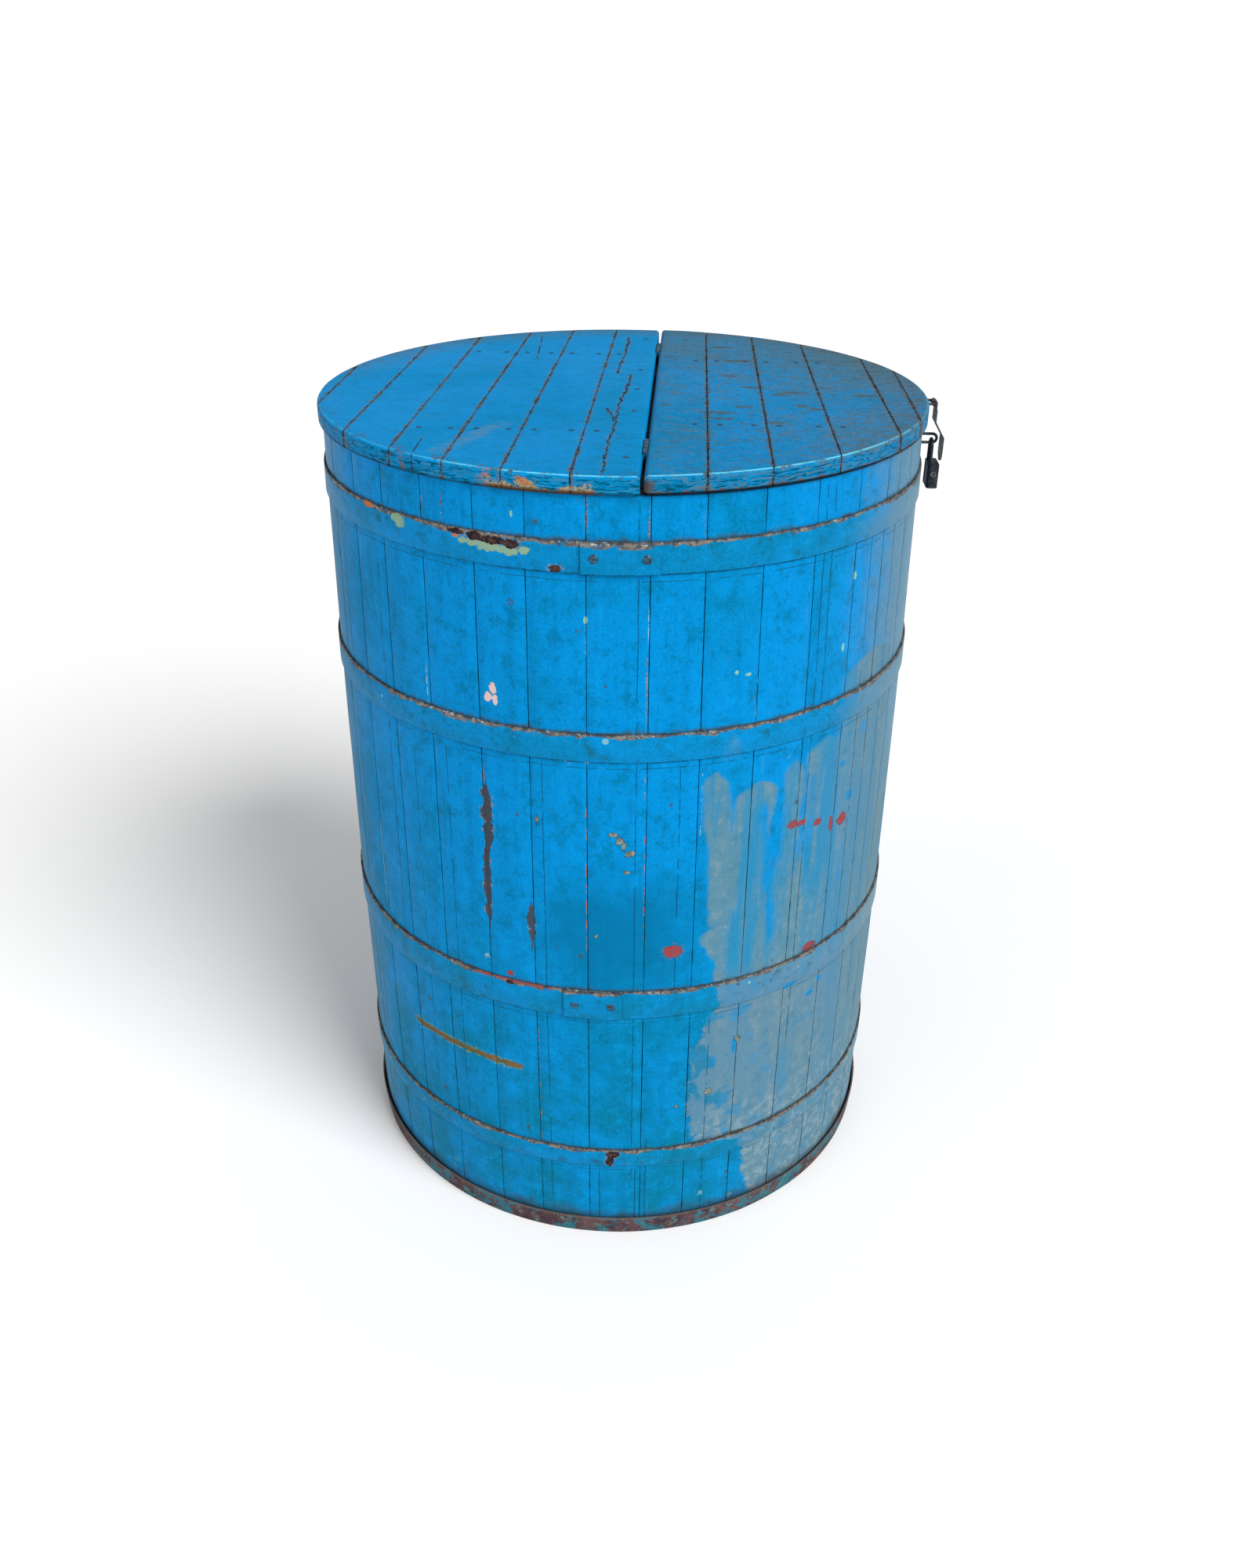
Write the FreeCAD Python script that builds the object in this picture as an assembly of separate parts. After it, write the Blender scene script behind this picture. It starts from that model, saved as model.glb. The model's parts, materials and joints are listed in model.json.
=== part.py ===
import FreeCAD, Part
import math
import os

# Coopered storage vat: staves and hoops, a raised bottom head, and a plank lid in two parts.
# The left part of the lid is fixed. The right part is a flap, hinged on a centre beam and
# kept shut by a hasp strap, a wall staple and a padlock.
# Millimetres, +Z up. The origin is on the vat's axis, on the floor. The lid's boards run
# along Y, the front is at -Y and the flap opens from the +X side.
# Angles round the vat are in degrees from the front (-Y), growing towards +X.

V = FreeCAD.Vector
UP = V(0, 0, 1)

# ---------------------------------------------------------------- driving dimensions
# Staved wall
stave_length = 1172.0
stave_thickness = 24.0
stave_count = 36
staves_per_node = 2
stave_gap = 0.25            # hairline between neighbouring staves
rim_radius = 414.0          # outside of the wall at the top
belly_radius = 419.5        # at mid height
foot_radius = 413.5         # at the floor
first_seam_deg = -3.05
seam_wander_deg = (-0.15, 0.35, -0.45, -0.15, 0.35, 0.60, -0.25, 0.25, -0.25, -0.25, 0.35, -0.35)

# Bottom head
head_height = 62.0          # underside of the head above the floor
head_thickness = 22.0
head_board_count = 5
head_board_gap = 0.3
groove_depth = 6.0
groove_clearance = 0.4

# Hoops: name, bottom edge, width, extra gap at the upper edge, lap from and to (degrees).
# The two uppermost are placed from the rim, the others from the floor.
hoop_thickness = 3.0
hoop_fit = 0.2
hoops = (
    ("hoop_top", stave_length - 95.0, 39.0, 0.0, -4.0, 8.8),
    ("hoop_upper", stave_length - 344.0, 39.0, 0.0, 172.0, 182.0),
    ("hoop_middle", 422.0, 46.0, 0.0, -7.8, 3.2),
    ("hoop_lower", 140.0, 32.0, 0.0, 188.0, 198.0),
    ("hoop_foot", 0.4, 31.0, 2.6, 163.0, 173.0),
)
rivet_inset_deg = 2.1       # from a lap's end to its nearest rivet
rivet_head_radius = 6.0
rivet_head_height = 2.4
rivet_shank_radius = 2.5
rivet_bite = 14.0           # how far a shank goes into the stave

# Lid
lid_radius = 420.0
lid_thickness = 23.0
board_gap = 0.4
split_x = 41.0              # centre of the split between the fixed part and the flap
split_gap = 4.0
flap_rest_gap = 0.8         # the flap lies this much higher than the fixed part
split_round = 6.0           # rounding of the two upper edges along the split
# Seams between boards: x at the middle of the lid, and how far a seam moves in x on its
# whole way from the back rim to the front rim
fixed_seams = ((-401.0, -12.0), (-330.0, -29.0), (-257.0, -25.0), (-183.0, -28.0),
               (-112.0, -21.0), (-36.0, -10.0))
flap_seams = ((116.0, 0.0), (190.5, 3.5), (270.0, 13.0), (354.0, 15.0), (391.5, 3.0))

# Beam and battens
beam_width = 70.0
beam_depth = 46.0
beam_drop = 0.6             # clearance between the beam and the boards above it
beam_end_clearance = 0.3
beam_end_trim = 1.0         # taken off each end of the beam
beam_batten_gap = 0.3       # between the beam and the fixed battens
beam_nail_rows = (-340.0, -120.0, 0.0, 120.0, 340.0)
ledger_height = 45.0        # block under each end of the beam, fixed to the staves
ledger_depth = 26.0
batten_thickness = 20.0
fixed_batten_y = 225.0
fixed_batten_width = 70.0
flap_batten_y = 185.0
flap_batten_width = 60.0
batten_wall_clearance = 16.0
batten_beam_clearance = 4.0

# Hinges in the split
hinge_y = 285.0
hinge_length = 62.0
pin_depth = 4.8             # pin axis below the top of the fixed boards
pin_radius = 2.0
pin_clearance = 0.05
knuckle_radius = 4.0
knuckle_gap = 0.4
pocket_clearance = 0.5
leaf_thickness = 1.6
leaf_drop = 16.0            # leaf's lower edge below the pin axis
leaf_clearance = 0.05       # between a leaf and the wood that it is let into
leaf_open_side = 1.0        # the cut for a leaf runs this far out of the board's edge
hinge_screw_radius = 1.8
hinge_screw_length = 15.0
hinge_screw_spacing = 40.0
screw_head_ratio = 1.9      # head's radius over the shank's
screw_hole_clearance = 0.05

# Nails
nail_radius = 1.7
nail_head_radius = 3.6
nail_head_height = 1.2
nail_hole_clearance = 0.05
nail_length = 40.0
nail_edge = 16.0            # nail to the side edge of a board
hole_overrun = 0.3          # a drilled hole is this much deeper than what goes in it
cutter_reach = 20.0         # a cutting shape reaches this far past what it cuts

# Hasp strap and the staple it hangs on
strap_out = 11.5            # pivot outside the edge of the lid
strap_rise = 12.2           # pivot above the underside of the flap
strap_thickness = 2.0
strap_width = 28.0
strap_eye_width = 16.0
strap_straight_drop = 25.0  # from the pivot to the crank
strap_crank_out = 13.3
strap_crank_drop = 22.0
strap_tail_drop = 34.0
slot_width = 9.0
slot_length = 24.0
lid_staple_radius = 2.0     # wire of the staple
lid_staple_spread = 22.0    # between its two legs
lid_staple_bite = 20.0
strap_clearance = 0.08      # strap's eye on the staple's bar
strap_shoulder_gap = 3.0    # from the staple's bar down to the strap's shoulders

# Wall staple
eye_wire_radius = 2.0
eye_drop = 37.0             # middle of the eye below the rim
eye_leg_spacing = 12.0
eye_reach = 26.0            # from the wall to the middle of the wire at its bow
eye_bite = 18.0

# Padlock
shackle_radius = 2.3
shackle_spread = 21.0       # between the legs
shackle_rest_gap = 0.3      # over the staple's lower leg
shackle_out = 20.0          # outside the rim of the wall
shackle_reach = 31.6        # from the bow's centre line down to the body
heel_bite = 22.0
toe_bite = 8.0
shackle_bore_clearance = 0.06
leg_bore_overrun = 0.4      # bottom of a leg's bore below the leg
lock_width = 38.0
lock_height = 34.0
lock_thickness = 16.0
lock_lean = 4.5             # body's middle plane outside the shackle's plane
lock_round = 4.0
lock_travel = 9.0           # the body's drop when unlocked
plug_radius = 4.0
plug_length = 14.0
plug_proud = 1.4
plug_clearance = 0.06
plug_rise = 4.0             # above the middle of the body
keyway_width = 1.6
keyway_length = 5.0
keyway_depth = 9.0

# ---------------------------------------------------------------- derived places
lid_bottom = stave_length
lid_top = lid_bottom + lid_thickness
flap_bottom = lid_bottom + flap_rest_gap
flap_top = flap_bottom + lid_thickness
fixed_face_x = split_x - split_gap / 2
flap_face_x = split_x + split_gap / 2
pin_z = lid_top - pin_depth
strap_pivot_x = lid_radius + strap_out
strap_pivot_z = flap_bottom + strap_rise
eye_z = stave_length - eye_drop
shackle_centre_x = rim_radius + shackle_out
inner_rim_radius = rim_radius - stave_thickness
beam_top = lid_bottom - beam_drop
eye_low_z = eye_z - eye_leg_spacing / 2
eye_high_z = eye_z + eye_leg_spacing / 2
bow_radius = shackle_spread / 2
bow_top_z = eye_low_z + eye_wire_radius + shackle_rest_gap + shackle_radius
bow_centre_z = bow_top_z - bow_radius
lock_top_z = bow_top_z - shackle_reach
lock_centre_x = shackle_centre_x + lock_lean


# ---------------------------------------------------------------- helpers
def around(shape, degrees):
    """A copy of a shape made at the front, turned round the vat."""
    turned = shape.copy()
    turned.rotate(V(0, 0, 0), UP, degrees)
    return turned


def at_angle(radius, z, degrees):
    a = math.radians(degrees)
    return V(radius * math.sin(a), -radius * math.cos(a), z)


def box(x0, x1, y0, y1, z0, z1):
    return Part.makeBox(x1 - x0, y1 - y0, z1 - z0, V(x0, y0, z0))


def rod(start, end, radius):
    way = end - start
    return Part.makeCylinder(radius, way.Length, start, way)


def bulge_arc():
    """Centre and radius of the arc that the wall's outside follows, in (radius, z)."""
    half = stave_length / 2
    end_radius = (rim_radius + foot_radius) / 2
    rise = belly_radius - end_radius
    arc = (half ** 2 + rise ** 2) / (2 * rise)
    return belly_radius - arc, arc


def wall_radius(z):
    """Outside radius of the wall at a height."""
    centre, arc = bulge_arc()
    even = centre + math.sqrt(arc ** 2 - (z - stave_length / 2) ** 2)
    taper = (rim_radius - foot_radius) * (z / stave_length - 0.5)
    return even + taper


def write(name, solids):
    """One STEP file per node: a single solid, or a group of separate solids."""
    shape = solids[0] if len(solids) == 1 else Part.makeCompound(solids)
    for solid in shape.Solids:
        if not solid.isValid() or solid.Volume < 1.0:
            raise ValueError("bad solid in " + name)
    shape.exportStep("parts/" + name + ".step")


def drilled(solid, holes):
    """A solid with every hole that reaches it cut out."""
    near = [hole for hole in holes if solid.BoundBox.intersect(hole.BoundBox)]
    if not near:
        return solid
    return solid.cut(near).Solids[0]


# ---------------------------------------------------------------- hoops and their rivets
def hoop_layer(bottom, width, flare, lift, from_deg, span_deg):
    """A stretch of flat iron that follows the wall, lifted by whole layers at a lap."""
    top = bottom + width
    r_low = wall_radius(bottom) + hoop_fit + lift
    r_high = wall_radius(top) + hoop_fit + lift + flare
    section = Part.makePolygon([V(0, -r_low, bottom), V(0, -r_low - hoop_thickness, bottom),
                                V(0, -r_high - hoop_thickness, top), V(0, -r_high, top),
                                V(0, -r_low, bottom)])
    layer = Part.Face(section).revolve(V(0, 0, 0), UP, span_deg)
    return around(layer, from_deg)


def rivet(bottom, width, flare, degrees):
    """A round-headed rivet through both layers of a lap, into the stave."""
    middle = bottom + width / 2
    seat = wall_radius(middle) + hoop_fit + flare / 2 + 2 * hoop_thickness
    ball = (rivet_head_radius ** 2 + rivet_head_height ** 2) / (2 * rivet_head_height)
    head_seat = seat + hoop_fit + flare * rivet_head_radius / width
    head = Part.makeSphere(ball, V(0, -head_seat + ball - rivet_head_height, middle))
    head = head.common(box(-ball, ball, -head_seat - ball, -head_seat, middle - ball, middle + ball))
    tip = V(0, -wall_radius(middle) + rivet_bite, middle)
    shank = rod(V(0, -head_seat, middle), tip, rivet_shank_radius)
    hole = rod(V(0, -head_seat - 5, middle), tip + V(0, 0.5, 0), rivet_shank_radius + nail_hole_clearance)
    return around(head.fuse(shank).Solids[0], degrees), around(hole, degrees)


rivets = []
rivet_holes = []
for name, bottom, width, flare, lap_from, lap_to in hoops:
    for degrees in (lap_from + rivet_inset_deg, lap_to - rivet_inset_deg):
        body, hole = rivet(bottom, width, flare, degrees)
        rivets.append(body)
        rivet_holes.append(hole)

hoop_solids = {}
for name, bottom, width, flare, lap_from, lap_to in hoops:
    ring = hoop_layer(bottom, width, flare, 0, 0, 360)
    lap = hoop_layer(bottom, width, flare, hoop_thickness, lap_from, lap_to - lap_from)
    hoop_solids[name] = drilled(ring.fuse(lap).removeSplitter().Solids[0], rivet_holes)


# ---------------------------------------------------------------- staves
def wall_profile():
    """Section of the wall: bulged outside, parallel inside, and the groove for the head."""
    half = stave_length / 2
    outside = Part.Arc(V(0, -wall_radius(0), 0), V(0, -wall_radius(half), half),
                       V(0, -wall_radius(stave_length), stave_length)).toShape()
    inner = [wall_radius(z) - stave_thickness for z in (0, half, stave_length)]
    inside = Part.Arc(V(0, -inner[0], 0), V(0, -inner[1], half), V(0, -inner[2], stave_length)).toShape()
    foot = Part.makeLine(V(0, -wall_radius(0), 0), V(0, -inner[0], 0))
    top = Part.makeLine(V(0, -wall_radius(stave_length), stave_length), V(0, -inner[2], stave_length))
    section = Part.Face(Part.Wire([foot, inside, top, outside]))
    low = head_height - groove_clearance / 2
    high = head_height + head_thickness + groove_clearance / 2
    deep = wall_radius(head_height) - stave_thickness + groove_depth
    notch = Part.Face(Part.makePolygon([V(0, 0, low), V(0, -deep, low), V(0, -deep, high),
                                        V(0, 0, high), V(0, 0, low)]))
    return section.cut(notch).Faces[0]


def seam_deg(index):
    step = 360.0 / stave_count
    wander = seam_wander_deg[index % len(seam_wander_deg)]
    return first_seam_deg + index * step + wander


bow_centre = V(wall_radius(eye_z) + eye_reach - eye_leg_spacing / 2, 0, eye_z)
eye_legs = []
eye_holes = []
for z in (eye_low_z, eye_high_z):
    start = V(wall_radius(z) - eye_bite, 0, z)
    end = V(bow_centre.x, 0, z)
    eye_legs.append(rod(start, end, eye_wire_radius))
    eye_holes.append(rod(start - V(0.5, 0, 0), end, eye_wire_radius + nail_hole_clearance))

section = wall_profile()
gap_deg = math.degrees(stave_gap / belly_radius)
staves = []
for index in range(stave_count):
    start = seam_deg(index) + gap_deg / 2
    span = seam_deg(index + 1) - gap_deg / 2 - start
    if index == stave_count - 1:
        span = seam_deg(0) + 360 - gap_deg / 2 - start
    stave = around(section.revolve(V(0, 0, 0), UP, span), start)
    staves.append(drilled(stave.Solids[0], rivet_holes + eye_holes))

# ---------------------------------------------------------------- bottom head
head_radius = wall_radius(head_height) - stave_thickness + groove_depth - groove_clearance
head_disc = Part.makeCylinder(head_radius, head_thickness, V(0, 0, head_height))
board_width = 2 * head_radius / head_board_count
head_boards = []
for index in range(head_board_count):
    left = -head_radius + index * board_width
    slab = box(left + head_board_gap / 2, left + board_width - head_board_gap / 2,
               -head_radius, head_radius, head_height, head_height + head_thickness)
    head_boards.append(head_disc.common(slab).Solids[0])


# ---------------------------------------------------------------- lid boards
def seam_x(seam, y):
    """x of a seam between two boards at a distance y from the middle of the lid."""
    middle, shift = seam
    return middle - shift * y / (2 * lid_radius)


def board(left, right, bottom):
    """A lid board between two seams, cut to the round edge of the lid."""
    far = lid_radius + 5
    trim = board_gap / 2
    corners = [V(seam_x(left, -far) + trim, -far, bottom), V(seam_x(right, -far) - trim, -far, bottom),
               V(seam_x(right, far) - trim, far, bottom), V(seam_x(left, far) + trim, far, bottom)]
    outline = Part.Face(Part.makePolygon(corners + corners[:1]))
    disc = Part.makeCylinder(lid_radius, lid_thickness, V(0, 0, bottom))
    return outline.extrude(V(0, 0, lid_thickness)).common(disc).Solids[0]


def split_cutter(face_x, top, side):
    """What the rounding takes off an upper edge along the split; side is -1 or +1."""
    length = 2 * lid_radius + cutter_reach
    low = face_x if side > 0 else face_x - split_round
    corner = box(low - (1 if side > 0 else 0), low + split_round + (0 if side > 0 else 1),
                 -length / 2, length / 2, top - split_round, top + 1)
    centre_x = face_x + side * split_round
    round_bar = Part.makeCylinder(split_round, length,
                                  V(centre_x, -length / 2, top - split_round), V(0, 1, 0))
    return corner.cut(round_bar)


outer = lid_radius + cutter_reach / 2
fixed_edges = ((-outer, 0.0),) + fixed_seams + ((fixed_face_x + board_gap / 2, 0.0),)
flap_edges = ((flap_face_x - board_gap / 2, 0.0),) + flap_seams + ((outer, 0.0),)
fixed_boards = [board(a, b, lid_bottom) for a, b in zip(fixed_edges, fixed_edges[1:])]
flap_boards = [board(a, b, flap_bottom) for a, b in zip(flap_edges, flap_edges[1:])]
fixed_boards[-1] = fixed_boards[-1].cut(split_cutter(fixed_face_x, lid_top, -1)).Solids[0]
flap_boards[0] = flap_boards[0].cut(split_cutter(flap_face_x, flap_top, 1)).Solids[0]


# ---------------------------------------------------------------- hinges
def knuckles(centre_y, which):
    """Three equal knuckles on a hinge: 'outer' gives the first and last, 'middle' the other."""
    pitch = hinge_length / 3
    picked = (0, 2) if which == "outer" else (1,)
    parts = []
    for index in picked:
        start = centre_y - hinge_length / 2 + index * pitch + knuckle_gap / 2
        parts.append(Part.makeCylinder(knuckle_radius, pitch - knuckle_gap,
                                       V(split_x, start, pin_z), V(0, 1, 0)))
    return parts


def clearance_bars(centre_y, which):
    """Room round the other leaf's knuckles."""
    bars = []
    for knuckle in knuckles(centre_y, which):
        span = knuckle.BoundBox
        bars.append(Part.makeCylinder(knuckle_radius + knuckle_gap, span.YLength + 2 * knuckle_gap,
                                      V(split_x, span.YMin - knuckle_gap, pin_z), V(0, 1, 0)))
    return bars


def hinge_screw(face_x, side, y):
    """A countersunk screw through a leaf into the edge of a board; side -1 goes to -X."""
    z = pin_z - (leaf_drop + knuckle_radius) / 2
    head = Part.makeCone(hinge_screw_radius * screw_head_ratio, hinge_screw_radius, leaf_thickness,
                         V(face_x, y, z), V(side, 0, 0))
    shank = rod(V(face_x, y, z), V(face_x + side * hinge_screw_length, y, z), hinge_screw_radius)
    hole_radius = hinge_screw_radius + screw_hole_clearance
    hole_head = Part.makeCone(hinge_screw_radius * screw_head_ratio + screw_hole_clearance, hole_radius,
                              leaf_thickness, V(face_x, y, z), V(side, 0, 0))
    hole_end = V(face_x + side * (hinge_screw_length + hole_overrun), y, z)
    hole_shank = rod(V(face_x, y, z), hole_end, hole_radius)
    return head.fuse(shank).Solids[0], hole_head.fuse(hole_shank)


def hinge_leaf(centre_y, face_x, side, own, other):
    """One leaf: a plate let into the edge of a board, with its own knuckles."""
    x0, x1 = sorted((face_x, face_x + side * leaf_thickness))
    plate = box(x0, x1, centre_y - hinge_length / 2, centre_y + hinge_length / 2,
                pin_z - leaf_drop, pin_z)
    leaf = plate.cut(clearance_bars(centre_y, other))
    leaf = leaf.fuse(knuckles(centre_y, own))
    bore = Part.makeCylinder(pin_radius + pin_clearance, hinge_length + 2,
                             V(split_x, centre_y - hinge_length / 2 - 1, pin_z), V(0, 1, 0))
    return leaf.cut(bore).removeSplitter().Solids[0]


fixed_leaves = []
flap_leaves = []
hinge_pins = []
fixed_hinge_screws = []
flap_hinge_screws = []
fixed_mortises = []
flap_mortises = []
for centre_y in (-hinge_y, hinge_y):
    screws = {}
    for side in (-1, 1):
        face_x = fixed_face_x if side < 0 else flap_face_x
        screws[side] = [hinge_screw(face_x, side, centre_y + dy)
                        for dy in (-hinge_screw_spacing / 2, hinge_screw_spacing / 2)]
    plain_fixed = hinge_leaf(centre_y, fixed_face_x, -1, "outer", "middle")
    plain_flap = hinge_leaf(centre_y, flap_face_x, 1, "middle", "outer")
    fixed_leaves.append(drilled(plain_fixed, [hole for _, hole in screws[-1]]))
    flap_leaves.append(drilled(plain_flap, [hole for _, hole in screws[1]]))
    fixed_hinge_screws += [screw for screw, _ in screws[-1]]
    flap_hinge_screws += [screw for screw, _ in screws[1]]
    pin_start = V(split_x, centre_y - hinge_length / 2, pin_z)
    hinge_pins.append(Part.makeCylinder(pin_radius, hinge_length, pin_start, V(0, 1, 0)))
    pocket_length = hinge_length + 2 * pocket_clearance
    pocket_start = centre_y - pocket_length / 2
    barrel = Part.makeCylinder(knuckle_radius + pocket_clearance, pocket_length,
                               V(split_x, pocket_start, pin_z), V(0, 1, 0))
    for side, mortises in ((-1, fixed_mortises), (1, flap_mortises)):
        face_x = fixed_face_x if side < 0 else flap_face_x
        x0, x1 = sorted((face_x - side * leaf_open_side,
                         face_x + side * (leaf_thickness + leaf_clearance)))
        mortises.append(barrel)
        mortises.append(box(x0, x1, pocket_start, pocket_start + pocket_length,
                            pin_z - leaf_drop - leaf_clearance, pin_z))
        mortises += [hole for _, hole in screws[side]]

# ---------------------------------------------------------------- beam and battens
beam_half_length = math.sqrt((inner_rim_radius - beam_end_clearance) ** 2
                             - (split_x + beam_width / 2) ** 2) - beam_end_trim
beam = box(split_x - beam_width / 2, split_x + beam_width / 2, -beam_half_length, beam_half_length,
           beam_top - beam_depth, beam_top)
ledgers = []
ledger_top = beam_top - beam_depth
bore_inside = Part.makeCone(wall_radius(0) - stave_thickness, wall_radius(stave_length) - stave_thickness,
                            stave_length)
for sign in (-1, 1):
    y0, y1 = sorted((sign * (beam_half_length - ledger_depth), sign * inner_rim_radius))
    block = box(split_x - beam_width / 2, split_x + beam_width / 2, y0, y1,
                ledger_top - ledger_height, ledger_top)
    ledgers.append(block.common(bore_inside).Solids[0])


def wall_x(y, clearance):
    """How far out in x a square-ended batten can reach at a distance y."""
    return math.sqrt(inner_rim_radius ** 2 - y ** 2) - clearance


fixed_batten_end = wall_x(fixed_batten_y + fixed_batten_width / 2, batten_wall_clearance)
flap_batten_end = wall_x(flap_batten_y + flap_batten_width / 2, batten_wall_clearance)
fixed_battens = []
flap_battens = []
for sign in (-1, 1):
    middle = sign * fixed_batten_y
    fixed_battens.append(box(-fixed_batten_end, split_x - beam_width / 2 - beam_batten_gap,
                             middle - fixed_batten_width / 2, middle + fixed_batten_width / 2,
                             lid_bottom - batten_thickness, lid_bottom))
    middle = sign * flap_batten_y
    flap_battens.append(box(split_x + beam_width / 2 + batten_beam_clearance, flap_batten_end,
                            middle - flap_batten_width / 2, middle + flap_batten_width / 2,
                            flap_bottom - batten_thickness, flap_bottom))


# ---------------------------------------------------------------- nails
def nail(x, y, top):
    """A flat-headed nail driven flush with the top of the lid, and its hole."""
    head = Part.makeCylinder(nail_head_radius, nail_head_height, V(x, y, top - nail_head_height))
    shank = Part.makeCylinder(nail_radius, nail_length, V(x, y, top - nail_length))
    hole = Part.makeCylinder(nail_head_radius + nail_hole_clearance, nail_head_height + 1,
                             V(x, y, top - nail_head_height))
    shaft = Part.makeCylinder(nail_radius + nail_hole_clearance, nail_length + hole_overrun,
                              V(x, y, top - nail_length - hole_overrun))
    return head.fuse(shank).Solids[0], hole.fuse(shaft)


def board_nails(edges, batten_y, top, x_limits):
    """Two nails where each board crosses a batten, kept inside the batten's length."""
    pairs = []
    for left, right in zip(edges, edges[1:]):
        for sign in (-1, 1):
            y = sign * batten_y
            for x in (seam_x(left, y) + nail_edge, seam_x(right, y) - nail_edge):
                if x_limits[0] + nail_edge < x < x_limits[1] - nail_edge / 2:
                    pairs.append(nail(x, y, top))
    return pairs


fixed_nails = board_nails(fixed_edges, fixed_batten_y, lid_top,
                          (-fixed_batten_end, split_x - beam_width / 2))
beam_nail_x = (split_x - beam_width / 2 + fixed_face_x) / 2 - split_round / 2
for y in beam_nail_rows:
    fixed_nails.append(nail(beam_nail_x, y, lid_top))
flap_nails = board_nails(flap_edges, flap_batten_y, flap_top,
                         (split_x + beam_width / 2 + batten_beam_clearance, flap_batten_end))
fixed_nail_holes = [hole for _, hole in fixed_nails]
flap_nail_holes = [hole for _, hole in flap_nails]

# ---------------------------------------------------------------- hasp strap and its staple
bar_start = V(strap_pivot_x, -lid_staple_spread / 2, strap_pivot_z)
bar_end = V(strap_pivot_x, lid_staple_spread / 2, strap_pivot_z)
lid_staple = rod(bar_start, bar_end, lid_staple_radius)
staple_holes = []
for corner in (bar_start, bar_end):
    inner_end = V(lid_radius - lid_staple_bite, corner.y, strap_pivot_z)
    lid_staple = lid_staple.fuse([rod(inner_end, corner, lid_staple_radius),
                                  Part.makeSphere(lid_staple_radius, corner)])
    staple_holes.append(rod(inner_end - V(hole_overrun, 0, 0),
                            V(lid_radius + cutter_reach, corner.y, strap_pivot_z),
                            lid_staple_radius + nail_hole_clearance))
lid_staple = lid_staple.removeSplitter().Solids[0]

strap_bore = lid_staple_radius + strap_clearance
centre_radius = strap_bore + strap_thickness / 2
path = [V(strap_pivot_x + centre_radius, 0, strap_pivot_z)]
for out, drop in ((0, strap_straight_drop), (strap_crank_out, strap_crank_drop), (0, strap_tail_drop)):
    path.append(path[-1] + V(out, 0, -drop))
strap_half = strap_width / 2
pieces = []
for start, end in zip(path, path[1:]):
    way = end - start
    plate = Part.makeBox(strap_width, strap_thickness, way.Length,
                         V(-strap_half, -strap_thickness / 2, 0))
    lean = math.degrees(math.atan2(way.x, -way.z))
    plate.rotate(V(0, 0, 0), UP, 90)
    plate.rotate(V(0, 0, 0), V(0, 1, 0), 180 - lean)
    plate.translate(start)
    pieces.append(plate)
for bend in path[1:-1]:
    pieces.append(Part.makeCylinder(strap_thickness / 2, strap_width, bend - V(0, strap_half, 0), V(0, 1, 0)))
strap = pieces[0].fuse(pieces[1:])
neck = strap_eye_width / 2
shoulder = strap_pivot_z - centre_radius - lid_staple_radius - strap_shoulder_gap
for side in (-1, 1):
    y0, y1 = sorted((side * neck, side * (strap_half + cutter_reach)))
    strap = strap.cut(box(strap_pivot_x - cutter_reach, strap_pivot_x + cutter_reach, y0, y1,
                          shoulder, strap_pivot_z + cutter_reach))
eye_ring = Part.makeCylinder(strap_bore + strap_thickness, strap_eye_width,
                             V(strap_pivot_x, -neck, strap_pivot_z), V(0, 1, 0))
strap_bore_cut = Part.makeCylinder(strap_bore, strap_eye_width + 2,
                                   V(strap_pivot_x, -neck - 1, strap_pivot_z), V(0, 1, 0))
slot_centre = path[2]
slot_straight = slot_length / 2 - slot_width / 2
slot = box(slot_centre.x - cutter_reach, slot_centre.x + cutter_reach, -slot_width / 2, slot_width / 2,
           slot_centre.z - slot_straight, slot_centre.z + slot_straight)
for end in (-1, 1):
    end_start = V(slot_centre.x - cutter_reach, 0, slot_centre.z + end * slot_straight)
    slot = slot.fuse(Part.makeCylinder(slot_width / 2, 2 * cutter_reach, end_start, V(1, 0, 0)))
tail = path[-1]
tip_radius = strap_half
tip_depth = 5 * strap_thickness
tip_cut = box(tail.x - tip_depth / 2, tail.x + tip_depth / 2, -strap_half - 1, strap_half + 1,
              tail.z - 1, tail.z + tip_radius)
tip_start = V(tail.x - tip_depth / 2, 0, tail.z + tip_radius)
tip_cut = tip_cut.cut(Part.makeCylinder(tip_radius, tip_depth, tip_start, V(1, 0, 0)))
strap = strap.fuse(eye_ring).cut([strap_bore_cut, slot, tip_cut]).removeSplitter().Solids[0]

# ---------------------------------------------------------------- wall staple
bow = Part.makeTorus(eye_leg_spacing / 2, eye_wire_radius, bow_centre, V(0, 1, 0))
bow = bow.common(box(bow_centre.x, bow_centre.x + cutter_reach, -cutter_reach, cutter_reach,
                     eye_z - cutter_reach, eye_z + cutter_reach))
wall_staple = bow.fuse(eye_legs).removeSplitter().Solids[0]

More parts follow.
